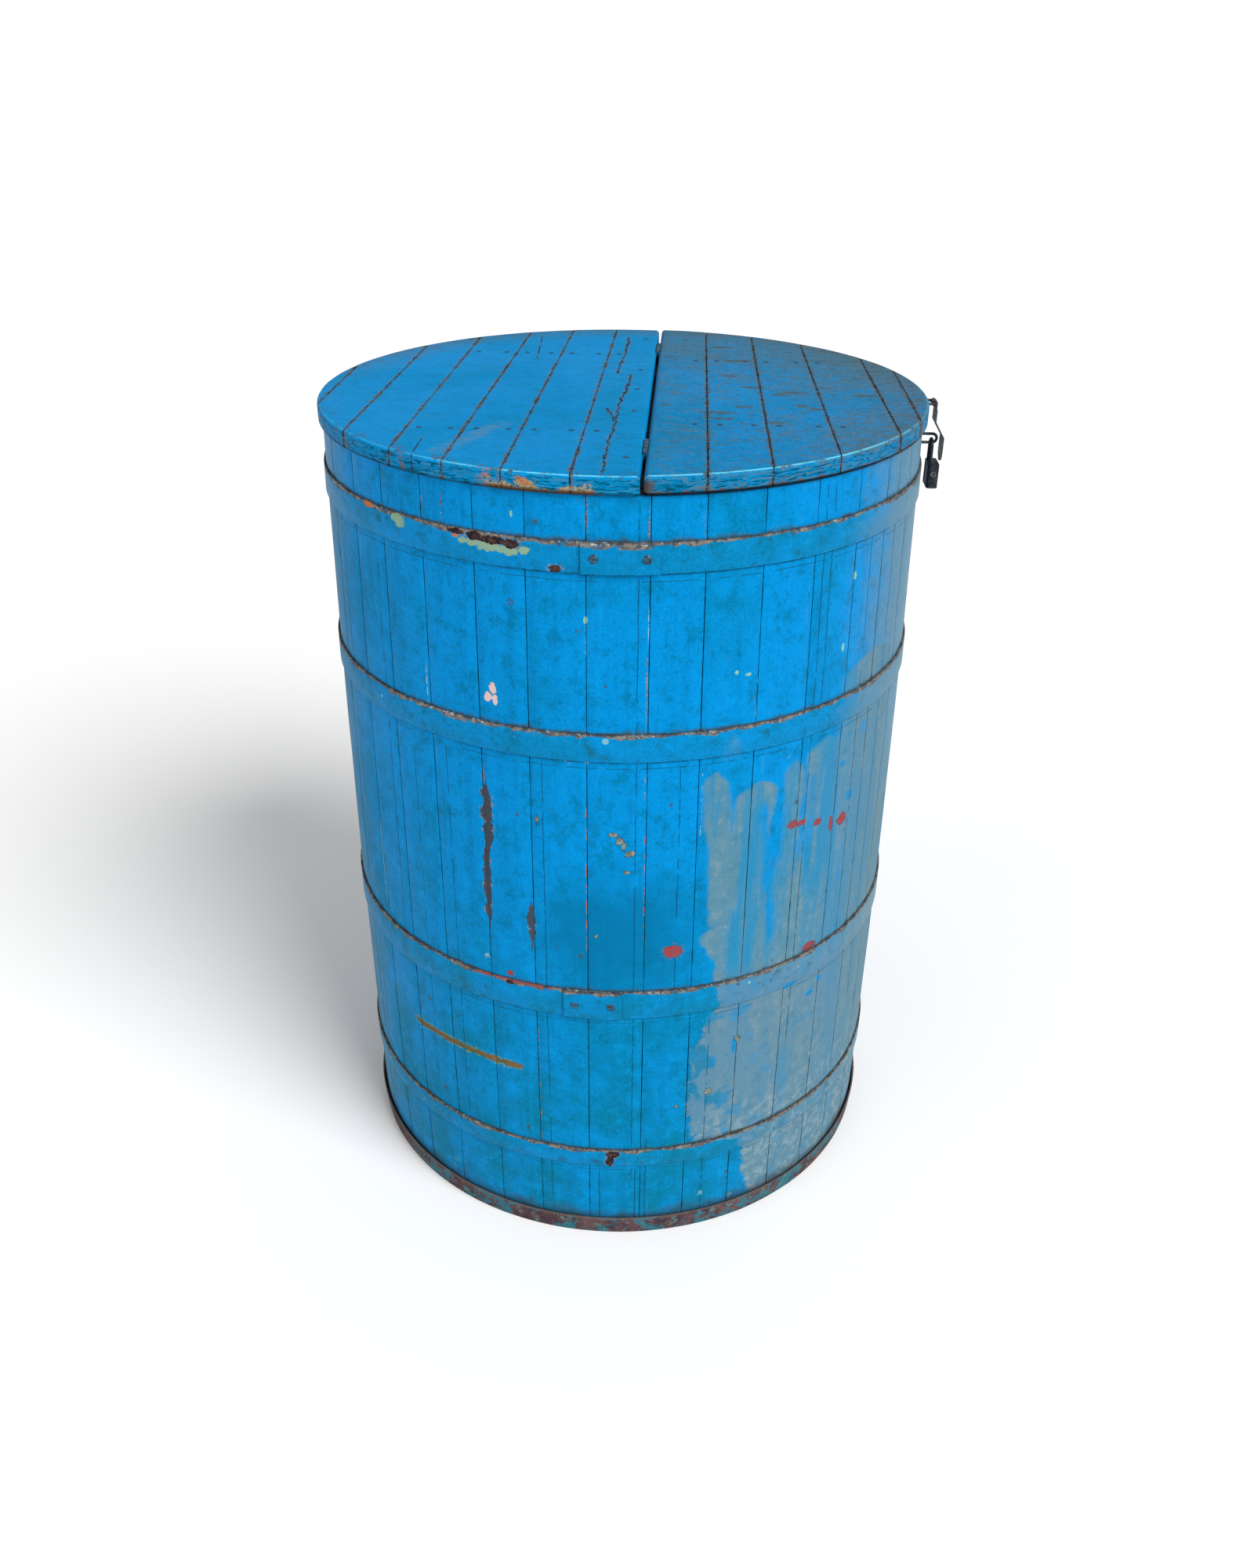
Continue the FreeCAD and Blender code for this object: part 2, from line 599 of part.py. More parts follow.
# ---------------------------------------------------------------- padlock
bow_middle = V(shackle_centre_x, 0, bow_centre_z)
shackle = Part.makeTorus(bow_radius, shackle_radius, bow_middle, V(1, 0, 0))
shackle = shackle.common(box(shackle_centre_x - cutter_reach, shackle_centre_x + cutter_reach,
                             -cutter_reach, cutter_reach, bow_centre_z, bow_centre_z + cutter_reach))
leg_bores = []
for side, bite in ((1, heel_bite), (-1, toe_bite)):
    y = side * bow_radius
    foot = V(shackle_centre_x, y, lock_top_z - bite)
    shackle = shackle.fuse(rod(foot, V(shackle_centre_x, y, bow_centre_z), shackle_radius))
    leg_bores.append(rod(foot - V(0, 0, leg_bore_overrun), V(shackle_centre_x, y, lock_top_z + cutter_reach),
                         shackle_radius + shackle_bore_clearance))
shackle = shackle.removeSplitter().Solids[0]

lock_body = box(lock_centre_x - lock_thickness / 2, lock_centre_x + lock_thickness / 2,
                -lock_width / 2, lock_width / 2, lock_top_z - lock_height, lock_top_z)
upright = [edge for edge in lock_body.Edges if abs(edge.tangentAt(edge.FirstParameter).z) > 0.9]
lock_body = lock_body.makeFillet(lock_round, upright)
plug_z = lock_top_z - lock_height / 2 + plug_rise
side_y = -lock_width / 2
plug = rod(V(lock_centre_x, side_y - plug_proud, plug_z), V(lock_centre_x, side_y + plug_length, plug_z),
           plug_radius)
keyway = box(lock_centre_x - keyway_width / 2, lock_centre_x + keyway_width / 2, side_y - plug_proud - 1,
             side_y + keyway_depth, plug_z - keyway_length / 2, plug_z + keyway_length / 2)
plug = plug.cut(keyway).Solids[0]
plug_bore = rod(V(lock_centre_x, side_y - cutter_reach, plug_z),
                V(lock_centre_x, side_y + plug_length + hole_overrun, plug_z), plug_radius + plug_clearance)
lock_body = lock_body.cut(leg_bores + [plug_bore]).Solids[0]

# ---------------------------------------------------------------- cuts for fasteners, and output
fixed_boards[-1] = drilled(fixed_boards[-1], fixed_mortises)
flap_boards[0] = drilled(flap_boards[0], flap_mortises)
fixed_boards = [drilled(piece, fixed_nail_holes) for piece in fixed_boards]
flap_boards = [drilled(piece, flap_nail_holes + staple_holes) for piece in flap_boards]
fixed_battens = [drilled(piece, fixed_nail_holes) for piece in fixed_battens]
flap_battens = [drilled(piece, flap_nail_holes) for piece in flap_battens]
beam = drilled(beam, fixed_nail_holes)

os.makedirs("parts", exist_ok=True)
for first in range(0, stave_count, staves_per_node):
    number = first // staves_per_node + 1
    write("stave_pair_%02d" % number, staves[first:first + staves_per_node])
for name, solid in hoop_solids.items():
    write(name, [solid])
for number, piece in enumerate(head_boards, 1):
    write("head_board_%d" % number, [piece])
for number, piece in enumerate(fixed_boards, 1):
    write("lid_fixed_board_%d" % number, [piece])
for number, piece in enumerate(flap_boards, 1):
    write("lid_flap_board_%d" % number, [piece])
write("centre_beam", [beam])
write("beam_ledgers", ledgers)
write("fixed_battens", fixed_battens)
write("flap_battens", flap_battens)
write("hinge_leaves_fixed", fixed_leaves)
write("hinge_leaves_flap", flap_leaves)
write("hinge_pins", hinge_pins)
write("hinge_screws_fixed", fixed_hinge_screws)
write("hinge_screws_flap", flap_hinge_screws)
write("hoop_rivets", rivets)
write("fixed_lid_nails", [body for body, _ in fixed_nails])
write("flap_nails", [body for body, _ in flap_nails])
write("strap_staple", [lid_staple])
write("hasp_strap", [strap])
write("wall_staple", [wall_staple])
write("padlock_shackle", [shackle])
write("padlock_body", [lock_body])
write("padlock_plug", [plug])
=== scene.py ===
"""An old coopered vat in chipped blue paint: staves, flat iron hoops and a plank lid in two parts."""
import json
import math
import random

import bpy
import bmesh
from mathutils import Matrix, Vector


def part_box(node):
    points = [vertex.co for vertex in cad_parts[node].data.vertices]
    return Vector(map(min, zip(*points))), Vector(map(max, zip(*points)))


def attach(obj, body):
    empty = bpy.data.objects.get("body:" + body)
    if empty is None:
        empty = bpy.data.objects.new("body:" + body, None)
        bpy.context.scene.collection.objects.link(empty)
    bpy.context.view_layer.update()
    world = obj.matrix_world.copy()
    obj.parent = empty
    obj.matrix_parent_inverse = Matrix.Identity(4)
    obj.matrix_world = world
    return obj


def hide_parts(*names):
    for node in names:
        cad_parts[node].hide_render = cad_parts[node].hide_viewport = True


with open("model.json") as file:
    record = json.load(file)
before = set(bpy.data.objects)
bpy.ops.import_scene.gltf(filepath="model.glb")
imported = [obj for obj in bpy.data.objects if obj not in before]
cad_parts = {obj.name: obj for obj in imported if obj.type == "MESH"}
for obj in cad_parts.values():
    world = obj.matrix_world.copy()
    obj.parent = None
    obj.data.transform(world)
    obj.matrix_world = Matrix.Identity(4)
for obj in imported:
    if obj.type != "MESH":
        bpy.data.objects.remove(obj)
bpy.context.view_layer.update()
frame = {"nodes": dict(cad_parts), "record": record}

# ------------------------------------------------------------------ sizes, in metres and degrees
LID_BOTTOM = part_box("lid_fixed_board_6")[0][2]
LID_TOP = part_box("lid_fixed_board_6")[1][2]
FLAP_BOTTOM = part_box("lid_flap_board_2")[0][2]
FLAP_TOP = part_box("lid_flap_board_2")[1][2]
LID_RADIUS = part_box("lid_flap_board_6")[1][0]
SPLIT_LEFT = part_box("lid_fixed_board_7")[1][0]
SPLIT_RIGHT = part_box("lid_flap_board_1")[0][0]
WALL_HEIGHT = LID_BOTTOM
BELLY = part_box("stave_pair_10")[1][1]
RIM_DRAW = 0.0055
FOOT_DRAW = 0.0060
STAVE_THICKNESS = 0.024
WAVE_ROOM = 0.0004
SPLIT_ROUND = 0.0070
JOINT_EASE = 0.0011
STAVE_COUNT = 36
STAVE_GAP = 0.0003
FIRST_SEAM = -3.05
SEAM_WANDER = (-0.15, 0.35, -0.45, -0.15, 0.35, 0.60, -0.25, 0.25, -0.25, -0.25, 0.35, -0.35)
FIXED_SEAMS = ((-0.401, -0.012), (-0.330, -0.029), (-0.257, -0.025), (-0.183, -0.028),
               (-0.112, -0.021), (-0.036, -0.010))
FLAP_SEAMS = ((0.116, 0.0), (0.1905, 0.0035), (0.270, 0.013), (0.354, 0.015), (0.3915, 0.003))
HOOP_THICKNESS = 0.003
HOOP_LAPS = {"hoop_top": (-4.0, 8.8), "hoop_upper": (172.0, 182.0), "hoop_middle": (-7.8, 3.2),
             "hoop_lower": (188.0, 198.0), "hoop_foot": (163.0, 173.0)}
RIM_ROUND = 0.0042
UNDER_ROUND = 0.0018
LOW_ROUND = 0.011
PLAN_ROUND = 0.009
CROSS_CUT = 0.0345
SECTION_PAIRS = 3
SECTION_ANGLE = 2 * SECTION_PAIRS * 360 / STAVE_COUNT
STAVE_EDGE = 0.0006
STAVE_CUTS = 46
HOOP_EDGE = 0.0009
HOOP_ROOM = 0.0002
FOOT_FLARE = 0.0026
BARE_INSIDE = 0.4065
SCRAPE_HEIGHT = 0.3105
RIDGE_DROP = 0.010
CUT_ROOM = 0.0002
POCKET_RADIUS = 0.0046
HINGE_Y = 0.285
HINGE_LENGTH = 0.063
# How far apart the waves of a surface are, and how high
STAVE_WAVES = (0.16, 0.0011)
HOOP_WAVES = (0.10, 0.0009)
BOARD_WAVES = (0.09, 0.0009)
STUDIO_GAIN = 0.72
chance = random.Random(7)


def wall_radius(z):
    """Outside radius of the staves at a height."""
    half = WALL_HEIGHT / 2
    ends = BELLY - (RIM_DRAW + FOOT_DRAW) / 2
    even = ends + (BELLY - ends) * (1 - ((z - half) / half) ** 2)
    return even + (FOOT_DRAW - RIM_DRAW) * (z / WALL_HEIGHT - 0.5)


def rgb(red, green, blue):
    """A colour as it looks in the studio, 0 to 255, turned into the paint's own colour."""
    levels = [level / 255 for level in (red, green, blue)]
    light = [v / 12.92 if v <= 0.04045 else ((v + 0.055) / 1.055) ** 2.4 for v in levels]
    return tuple(v * STUDIO_GAIN for v in light) + (1.0,)


BRIGHT_BLUE = rgb(0, 149, 226)
DEEP_BLUE = rgb(0, 137, 196)
TEAL = rgb(0, 126, 161)
SLATE = rgb(66, 78, 92)
MINT = rgb(146, 180, 152)
ORANGE = rgb(205, 120, 72)
RED = rgb(190, 52, 48)
PINK_WHITE = rgb(232, 205, 205)


# ------------------------------------------------------------------ modelling helpers
def fresh():
    """Object mode, with nothing selected."""
    if bpy.context.object and bpy.context.object.mode != "OBJECT":
        bpy.ops.object.mode_set(mode="OBJECT")
    bpy.ops.object.select_all(action="DESELECT")


def only(piece):
    fresh()
    piece.select_set(True)
    bpy.context.view_layer.objects.active = piece


def begin_edit(piece):
    only(piece)
    bpy.ops.object.mode_set(mode="EDIT")
    bpy.ops.mesh.select_all(action="SELECT")


def end_edit():
    bpy.ops.object.mode_set(mode="OBJECT")


def fix_place(piece):
    """Writes an object's place, turn and scale into its mesh."""
    only(piece)
    bpy.ops.object.transform_apply(location=True, rotation=True, scale=True)
    return piece


def choose(piece, kind, test):
    """Selects the vertices, edges or faces that pass a test, in edit mode; gives their number."""
    bpy.ops.mesh.select_mode(type=kind)
    bpy.ops.mesh.select_all(action="DESELECT")
    mesh = bmesh.from_edit_mesh(piece.data)
    items = {"VERT": mesh.verts, "EDGE": mesh.edges, "FACE": mesh.faces}[kind]
    found = [item for item in items if test(item)]
    for item in found:
        item.select_set(True)
    mesh.select_flush_mode()
    bmesh.update_edit_mesh(piece.data)
    return len(found)


def bevel_edges(piece, test, width, segments):
    if choose(piece, "EDGE", test):
        bpy.ops.mesh.bevel(offset=width, segments=segments, profile=0.5, clamp_overlap=True)


def cut(point, normal, keep="both"):
    """A straight cut through everything; keep says which side stays: both, front or behind."""
    bpy.ops.mesh.select_all(action="SELECT")
    bpy.ops.mesh.bisect(plane_co=point, plane_no=normal, use_fill=keep != "both",
                        clear_inner=keep == "front", clear_outer=keep == "behind")


def turn_normals_out():
    bpy.ops.mesh.select_all(action="SELECT")
    bpy.ops.mesh.remove_doubles(threshold=0.00002)
    bpy.ops.mesh.normals_make_consistent(inside=False)


def apply_modifier(piece, kind, **settings):
    modifier = piece.modifiers.new(kind.title(), kind)
    for name, value in settings.items():
        setattr(modifier, name, value)
    only(piece)
    bpy.ops.object.modifier_apply(modifier=modifier.name)


def roughen(piece, size, depth):
    """The slight waviness of hand-worked wood or iron."""
    clouds = bpy.data.textures.new(piece.name + "_waves", "CLOUDS")
    clouds.noise_scale = size
    clouds.noise_depth = 3
    apply_modifier(piece, "DISPLACE", texture=clouds, strength=depth, mid_level=0.5,
                   texture_coords="LOCAL", direction="NORMAL")


def remember(piece, name, measure):
    """Stores a measure of every point with the mesh, for the material to read."""
    layer = piece.data.attributes.new(name, "FLOAT", "POINT")
    layer.data.foreach_set("value", [measure(v.co) for v in piece.data.vertices])


def join(pieces, name):
    only(pieces[0])
    for piece in pieces[1:]:
        piece.select_set(True)
    bpy.ops.object.join()
    pieces[0].name = name
    pieces[0].data.name = name
    return pieces[0]


def smooth(piece, angle=35):
    only(piece)
    bpy.ops.object.shade_smooth_by_angle(angle=math.radians(angle))


def finish_piece(piece, body, slot, material, nodes):
    piece.data.materials.clear()
    piece.data.materials.append(material)
    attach(piece, body)
    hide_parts(*nodes)


def polar(co):
    """Angle from the front in degrees, towards +X, and radius."""
    return math.degrees(math.atan2(co.x, -co.y)), math.hypot(co.x, co.y)


# ------------------------------------------------------------------ shader helpers
class Finish:
    """Short calls that lay out shader nodes, in a material or in a group."""

    def __init__(self, tree):
        self.tree = tree

    def node(self, kind, **settings):
        node = self.tree.nodes.new(kind)
        for name, value in settings.items():
            setattr(node, name, value)
        return node

    def feed(self, socket, value):
        if isinstance(value, bpy.types.NodeSocket):
            self.tree.links.new(value, socket)
        elif value is not None:
            socket.default_value = value

    def math(self, operation, *values, clamp=False):
        node = self.node("ShaderNodeMath", operation=operation, use_clamp=clamp)
        for socket, value in zip(node.inputs, values):
            self.feed(socket, value)
        return node.outputs[0]

    def plus(self, first, second):
        return self.math("ADD", first, second)

    def minus(self, first, second):
        return self.math("SUBTRACT", first, second)

    def divide(self, first, second):
        return self.math("DIVIDE", first, second)

    def absolute(self, value):
        return self.math("ABSOLUTE", value)

    def times(self, *values):
        result = values[0]
        for value in values[1:]:
            result = self.math("MULTIPLY", result, value)
        return result

    def any_of(self, *masks):
        result = masks[0]
        for mask in masks[1:]:
            result = self.math("MAXIMUM", result, mask)
        return result

    def shake(self, noise, *amounts):
        """A noise as a swing to both sides of nothing, times the amounts."""
        return self.times(self.minus(noise, 0.5), *amounts)

    def distance(self, across, along):
        """How far off a place is, from its two offsets."""
        return self.math("SQRT", self.plus(self.times(across, across), self.times(along, along)))

    def apart(self, place):
        """X, Y and Z of a place."""
        split = self.node("ShaderNodeSeparateXYZ")
        self.feed(split.inputs[0], place)
        return split.outputs

    def ramp(self, value, start, end, low=0.0, high=1.0):
        """Runs from low at start to high at end, and is held flat outside."""
        node = self.node("ShaderNodeMapRange", interpolation_type="SMOOTHSTEP", clamp=True)
        for socket, number in zip(node.inputs, (value, start, end, low, high)):
            self.feed(socket, number)
        return node.outputs[0]

    def mix(self, mask, under, over):
        node = self.node("ShaderNodeMix", data_type="RGBA")
        self.feed(node.inputs[0], mask)
        self.feed(node.inputs[6], under)
        self.feed(node.inputs[7], over)
        return node.outputs[2]

    def two_tone(self, noise, start, end, under, over):
        """One colour broken up by another where a noise is high."""
        return self.mix(self.ramp(noise, start, end), under, over)

    def stretch(self, vector, *scale):
        node = self.node("ShaderNodeMapping")
        self.feed(node.inputs["Vector"], vector)
        node.inputs["Scale"].default_value = scale
        return node.outputs[0]

    def noise(self, vector, scale, detail=3.0, rough=0.55, warp=0.0):
        node = self.node("ShaderNodeTexNoise")
        self.feed(node.inputs["Vector"], vector)
        settings = {"Scale": scale, "Detail": detail, "Roughness": rough, "Distortion": warp}
        for name, number in settings.items():
            node.inputs[name].default_value = number
        return node.outputs[0]

    def use(self, group, **values):
        node = self.node("ShaderNodeGroup")
        node.node_tree = group
        for name, value in values.items():
            self.feed(node.inputs[name.replace("_", " ").title()], value)
        return node.outputs

    def measure(self, name):
        node = self.node("ShaderNodeAttribute", attribute_name=name)
        return node.outputs["Fac"]

    def curve(self, value, points):
        node = self.node("ShaderNodeFloatCurve")
        self.feed(node.inputs["Value"], value)
        line = node.mapping.curves[0]
        line.points[0].location = points[0]
        line.points[1].location = points[-1]
        for point in points[1:-1]:
            line.points.new(*point)
        node.mapping.update()
        return node.outputs[0]


def new_group(name, inputs, outputs):
    """A node group with named sockets; gives its Finish, its inputs and its outputs."""
    tree = bpy.data.node_groups.new(name, "ShaderNodeTree")
    kinds = {"value": "NodeSocketFloat", "vector": "NodeSocketVector", "colour": "NodeSocketColor"}
    for label, kind in inputs:
        tree.interface.new_socket(name=label, in_out="INPUT", socket_type=kinds[kind])
    for label, kind in outputs:
        tree.interface.new_socket(name=label, in_out="OUTPUT", socket_type=kinds[kind])
    start = tree.nodes.new("NodeGroupInput").outputs
    end = tree.nodes.new("NodeGroupOutput").inputs
    return Finish(tree), start, end


def new_material(name, **constants):
    """A material with one Principled shader; constants go on the shader's own sockets."""
    material = bpy.data.materials.new(name)
    material.use_nodes = True
    shader = material.node_tree.nodes["Principled BSDF"]
    for label, value in constants.items():
        shader.inputs[label.replace("_", " ")].default_value = value
    finish = Finish(material.node_tree)
    place = finish.node("ShaderNodeTexCoord").outputs["Object"]
    return material, finish, shader.inputs, place


def relief(f, shader, height, depth, strength=0.6):
    bump = f.node("ShaderNodeBump")
    bump.inputs["Distance"].default_value = depth
    bump.inputs["Strength"].default_value = strength
    f.feed(bump.inputs["Height"], height)
    f.feed(shader["Normal"], bump.outputs[0])


# ------------------------------------------------------------------ shader groups
def make_round_the_wall():
    f, start, end = new_group("round_the_wall", (("Place", "vector"),),
                              (("Angle", "value"), ("Height", "value"), ("Radius", "value")))
    x, y, z = f.apart(start["Place"])
    turn = f.math("ARCTAN2", x, f.times(y, -1.0))
    f.feed(end["Angle"], f.times(turn, math.degrees(1.0)))
    f.feed(end["Height"], z)
    f.feed(end["Radius"], f.distance(x, y))
    return f.tree


def make_chip():
    """A chip or stain at a place round the wall, with a ragged edge."""
    f, start, end = new_group("chip", (("Angle", "value"), ("Height", "value"), ("Noise", "value"),
                                       ("At Angle", "value"), ("At Height", "value"),
                                       ("Half Width", "value"), ("Half Height", "value"),
                                       ("Ragged", "value")), (("Mask", "value"), ("Rim", "value")))
    arc = f.times(f.minus(start["Angle"], start["At Angle"]), math.radians(1) * BELLY)
    across = f.divide(arc, start["Half Width"])
    up = f.divide(f.minus(start["Height"], start["At Height"]), start["Half Height"])
    away = f.distance(across, up)
    shake = f.shake(start["Noise"], start["Ragged"])
    edge = f.plus(away, shake)
    f.feed(end["Mask"], f.ramp(edge, 1.04, 0.94))
    f.feed(end["Rim"], f.ramp(edge, 1.5, 1.15))
    return f.tree


def make_crack():
    """A thin upright crack that wanders a little and comes and goes."""
    f, start, end = new_group("crack", (("Angle", "value"), ("Height", "value"), ("Noise", "value"),
                                        ("At Angle", "value"), ("Low", "value"), ("High", "value"),
                                        ("Width", "value"), ("Broken", "value")), (("Mask", "value"),))
    wander = f.shake(start["Noise"], 0.6)
    off = f.absolute(f.plus(f.minus(start["Angle"], start["At Angle"]), wander))
    arc = f.times(off, math.radians(1) * BELLY)
    thin = f.ramp(arc, start["Width"], f.times(start["Width"], 0.35))
    inside = f.times(f.ramp(f.minus(start["Height"], start["Low"]), 0.0, 0.02),
                     f.ramp(f.minus(start["High"], start["Height"]), 0.0, 0.02))
    whole = f.ramp(start["Noise"], start["Broken"], f.plus(start["Broken"], 0.06))
    f.feed(end["Mask"], f.times(thin, inside, whole))
    return f.tree


def make_old_blue():
    """Brushed blue paint: faint brush streaks, slow changes of shade, a slight grain, and fine specks of
    painted highlight and painted shade on its small wrinkles.
    """
    f, start, end = new_group("old_blue", (("Place", "vector"), ("Brushed", "vector"), ("Tone", "value"),
                                           ("Green", "value")),
                              (("Color", "colour"), ("Streaks", "value"), ("Cloud", "value")))
    cloud = f.noise(start["Place"], 4.0, 3.0, 0.5, 0.3)
    patch = f.noise(start["Place"], 13.0, 6.0, 0.62, 0.4)
    streaks = f.noise(start["Brushed"], 62.0, 5.0, 0.6)
    fine = f.noise(start["Brushed"], 260.0, 3.0, 0.6)
    # painted highlight and painted shade of small wrinkles, as lighter and darker specks
    wrinkle_light_and_shade = f.noise(start["Place"], 330.0, 3.0, 0.6)
    uneven = f.plus(f.times(cloud, 0.6), f.times(patch, 0.4))
    deep = f.ramp(f.plus(uneven, f.shake(start["Tone"], 0.14)), 0.40, 0.66)
    color = f.mix(deep, BRIGHT_BLUE, DEEP_BLUE)
    color = f.mix(f.times(start["Green"], f.ramp(patch, 0.36, 0.66, 0.35, 1.0)), color, TEAL)
    mottle = f.noise(start["Place"], 44.0, 7.0, 0.76, 0.15)
    color = f.mix(f.ramp(mottle, 0.49, 0.64, 0.0, 0.55), color, rgb(0, 113, 143))
    color = f.mix(f.ramp(mottle, 0.47, 0.34, 0.0, 0.50), color, rgb(0, 162, 236))
    color = f.mix(f.ramp(streaks, 0.50, 0.72, 0.0, 0.24), color, rgb(0, 108, 158))
    color = f.mix(f.ramp(streaks, 0.48, 0.30, 0.0, 0.24), color, rgb(8, 158, 236))
    color = f.mix(f.ramp(fine, 0.55, 0.75, 0.0, 0.25), color, rgb(8, 100, 140))
    color = f.mix(f.ramp(wrinkle_light_and_shade, 0.54, 0.68, 0.0, 0.42), color, rgb(8, 104, 140))
    color = f.mix(f.ramp(wrinkle_light_and_shade, 0.46, 0.34, 0.0, 0.30), color, rgb(12, 168, 244))
    f.feed(end["Color"], color)
    f.feed(end["Streaks"], f.plus(f.times(streaks, 0.5), f.times(mottle, 0.7)))
    f.feed(end["Cloud"], cloud)
    return f.tree


def make_seam_dirt():
    """Dirt in a joint, ragged and broken, and the worn edge of the paint beside it."""
    f, start, end = new_group("seam_dirt", (("Distance", "value"), ("Noise", "value"), ("Width", "value"),
                                            ("Wear", "value")), (("Dirt", "value"), ("Worn", "value")))
    shake = f.ramp(start["Noise"], 0.3, 0.75, 0.35, 1.7)
    near = f.divide(start["Distance"], f.times(start["Width"], shake))
    f.feed(end["Dirt"], f.ramp(near, 1.0, 0.45))
    wide = f.divide(start["Distance"], f.times(start["Width"], 3.2))
    torn = f.times(f.ramp(wide, 1.0, 0.5), f.ramp(start["Noise"], 0.60, 0.68), start["Wear"])
    f.feed(end["Worn"], torn)
    return f.tree


def make_swath():
    """An upright swath of a brush or a scraper, soft at its edges, with a rounded end."""
    f, start, end = new_group("swath", (("Angle", "value"), ("Height", "value"), ("Noise", "value"),
                                        ("At Angle", "value"), ("Lean", "value"), ("Half Width", "value"),
                                        ("Low", "value"), ("High", "value"), ("Soft", "value")),
                              (("Mask", "value"),))
    lean = f.times(f.minus(start["High"], start["Height"]), start["Lean"])
    off = f.minus(start["Angle"], f.plus(start["At Angle"], lean))
    shaken = f.plus(f.absolute(off), f.shake(start["Noise"], 2.4))
    over_high = f.math("MAXIMUM", f.minus(start["Height"], f.minus(start["High"], 0.025)), 0.0)
    narrowing = f.minus(1.0, f.times(f.times(over_high, over_high), 1600.0))
    half = f.times(start["Half Width"], f.math("MAXIMUM", narrowing, 0.0))
    side = f.ramp(f.minus(half, shaken), 0.0, start["Soft"])
    foot = f.ramp(f.minus(start["Height"], start["Low"]), 0.0, 0.03)
    f.feed(end["Mask"], f.times(side, foot))
    return f.tree


def make_flake():
    """A long upright flake off the paint, ragged along both sides and narrow at its ends."""
    f, start, end = new_group("flake", (("Angle", "value"), ("Height", "value"), ("Broad", "value"),
                                        ("Fine", "value"), ("At Angle", "value"), ("Low", "value"),
                                        ("High", "value"), ("Half Width", "value")),
                              (("Mask", "value"), ("Rim", "value")))
    arc = f.times(f.minus(start["Angle"], start["At Angle"]), math.radians(1) * BELLY)
    arc = f.plus(arc, f.shake(start["Broad"], start["Half Width"], 2.2))
    taper = f.times(f.ramp(f.minus(start["Height"], start["Low"]), 0.0, 0.045),
                    f.ramp(f.minus(start["High"], start["Height"]), 0.0, 0.030))
    swell = f.ramp(start["Broad"], 0.36, 0.62, 0.30, 1.35)
    half = f.math("MAXIMUM", f.times(start["Half Width"], taper, swell), 0.00001)
    shake = f.shake(start["Fine"], 1.5)
    away = f.plus(f.divide(f.absolute(arc), half), shake)
    f.feed(end["Mask"], f.ramp(away, 1.05, 0.92))
    f.feed(end["Rim"], f.times(f.ramp(away, 1.7, 1.2), taper))
    return f.tree


def make_specks():
    """A sparse scatter of small round spots."""
    f, start, end = new_group("specks", (("Place", "vector"), ("Scale", "value"), ("Share", "value")),
                              (("Mask", "value"),))
    cells = f.node("ShaderNodeTexVoronoi", feature="F1")
    f.feed(cells.inputs["Vector"], start["Place"])
    f.feed(cells.inputs["Scale"], start["Scale"])
    pick = f.node("ShaderNodeSeparateColor")
    f.feed(pick.inputs[0], cells.outputs["Color"])
    chosen = f.math("LESS_THAN", pick.outputs[0], start["Share"])
    size = f.ramp(pick.outputs[1], 0.0, 1.0, 0.10, 0.26)
    round_spot = f.math("LESS_THAN", cells.outputs["Distance"], size)
    f.feed(end["Mask"], f.times(chosen, round_spot))
    return f.tree


def make_wood():
    """Old bare wood; Along is the place squeezed along the grain."""
    f, start, end = new_group("old_wood", (("Along", "vector"),),
                              (("Color", "colour"), ("Grain", "value")))
    rings = f.noise(start["Along"], 38.0, 6.0, 0.65, 0.8)
    fine = f.noise(start["Along"], 190.0, 4.0, 0.6)
    color = f.two_tone(rings, 0.3, 0.7, rgb(112, 88, 66), rgb(158, 128, 98))
    color = f.mix(f.ramp(fine, 0.5, 0.75, 0.0, 0.6), color, rgb(74, 56, 42))
    f.feed(end["Color"], color)
    f.feed(end["Grain"], f.plus(f.times(rings, 0.6), f.times(fine, 0.4)))
    return f.tree


round_the_wall = make_round_the_wall()
chip = make_chip()
crack = make_crack()
swath = make_swath()
flake = make_flake()
old_blue = make_old_blue()
seam_dirt = make_seam_dirt()
specks = make_specks()
old_wood = make_wood()

# Chips and stains on the staves: angle, height, half width, half height, ragged edge
RED_CHIPS = ((12.7, 0.532, 0.0130, 0.0105, 1.3), (43.4, 0.474, 0.0130, 0.0080, 1.6),
             (36.4, 0.698, 0.0085, 0.0056, 2.4), (38.6, 0.695, 0.0070, 0.0046, 2.4),
             (42.9, 0.684, 0.0080, 0.0048, 2.4), (46.8, 0.670, 0.0044, 0.0110, 2.0),
             (50.4, 0.668, 0.0115, 0.0100, 2.2), (-18.6, 0.477, 0.0050, 0.0040, 2.0))
PALE_CHIPS = ((-20.0, 0.914, 0.0052, 0.0085, 2.4), (-20.9, 0.901, 0.0055, 0.0070, 2.4),
              (-19.6, 0.898, 0.0035, 0.0080, 2.4))
MINT_CHIPS = ((47.9, 1.032, 0.0036, 0.0050, 1.0), (46.0, 0.938, 0.0026, 0.0060, 1.0),
              (22.7, 0.941, 0.0028, 0.0028, 1.4), (24.9, 0.936, 0.0042, 0.0022, 1.4),
              (-15.6, 1.142, 0.0018, 0.0040, 1.0), (-3.3, 1.018, 0.0026, 0.0046, 1.0))
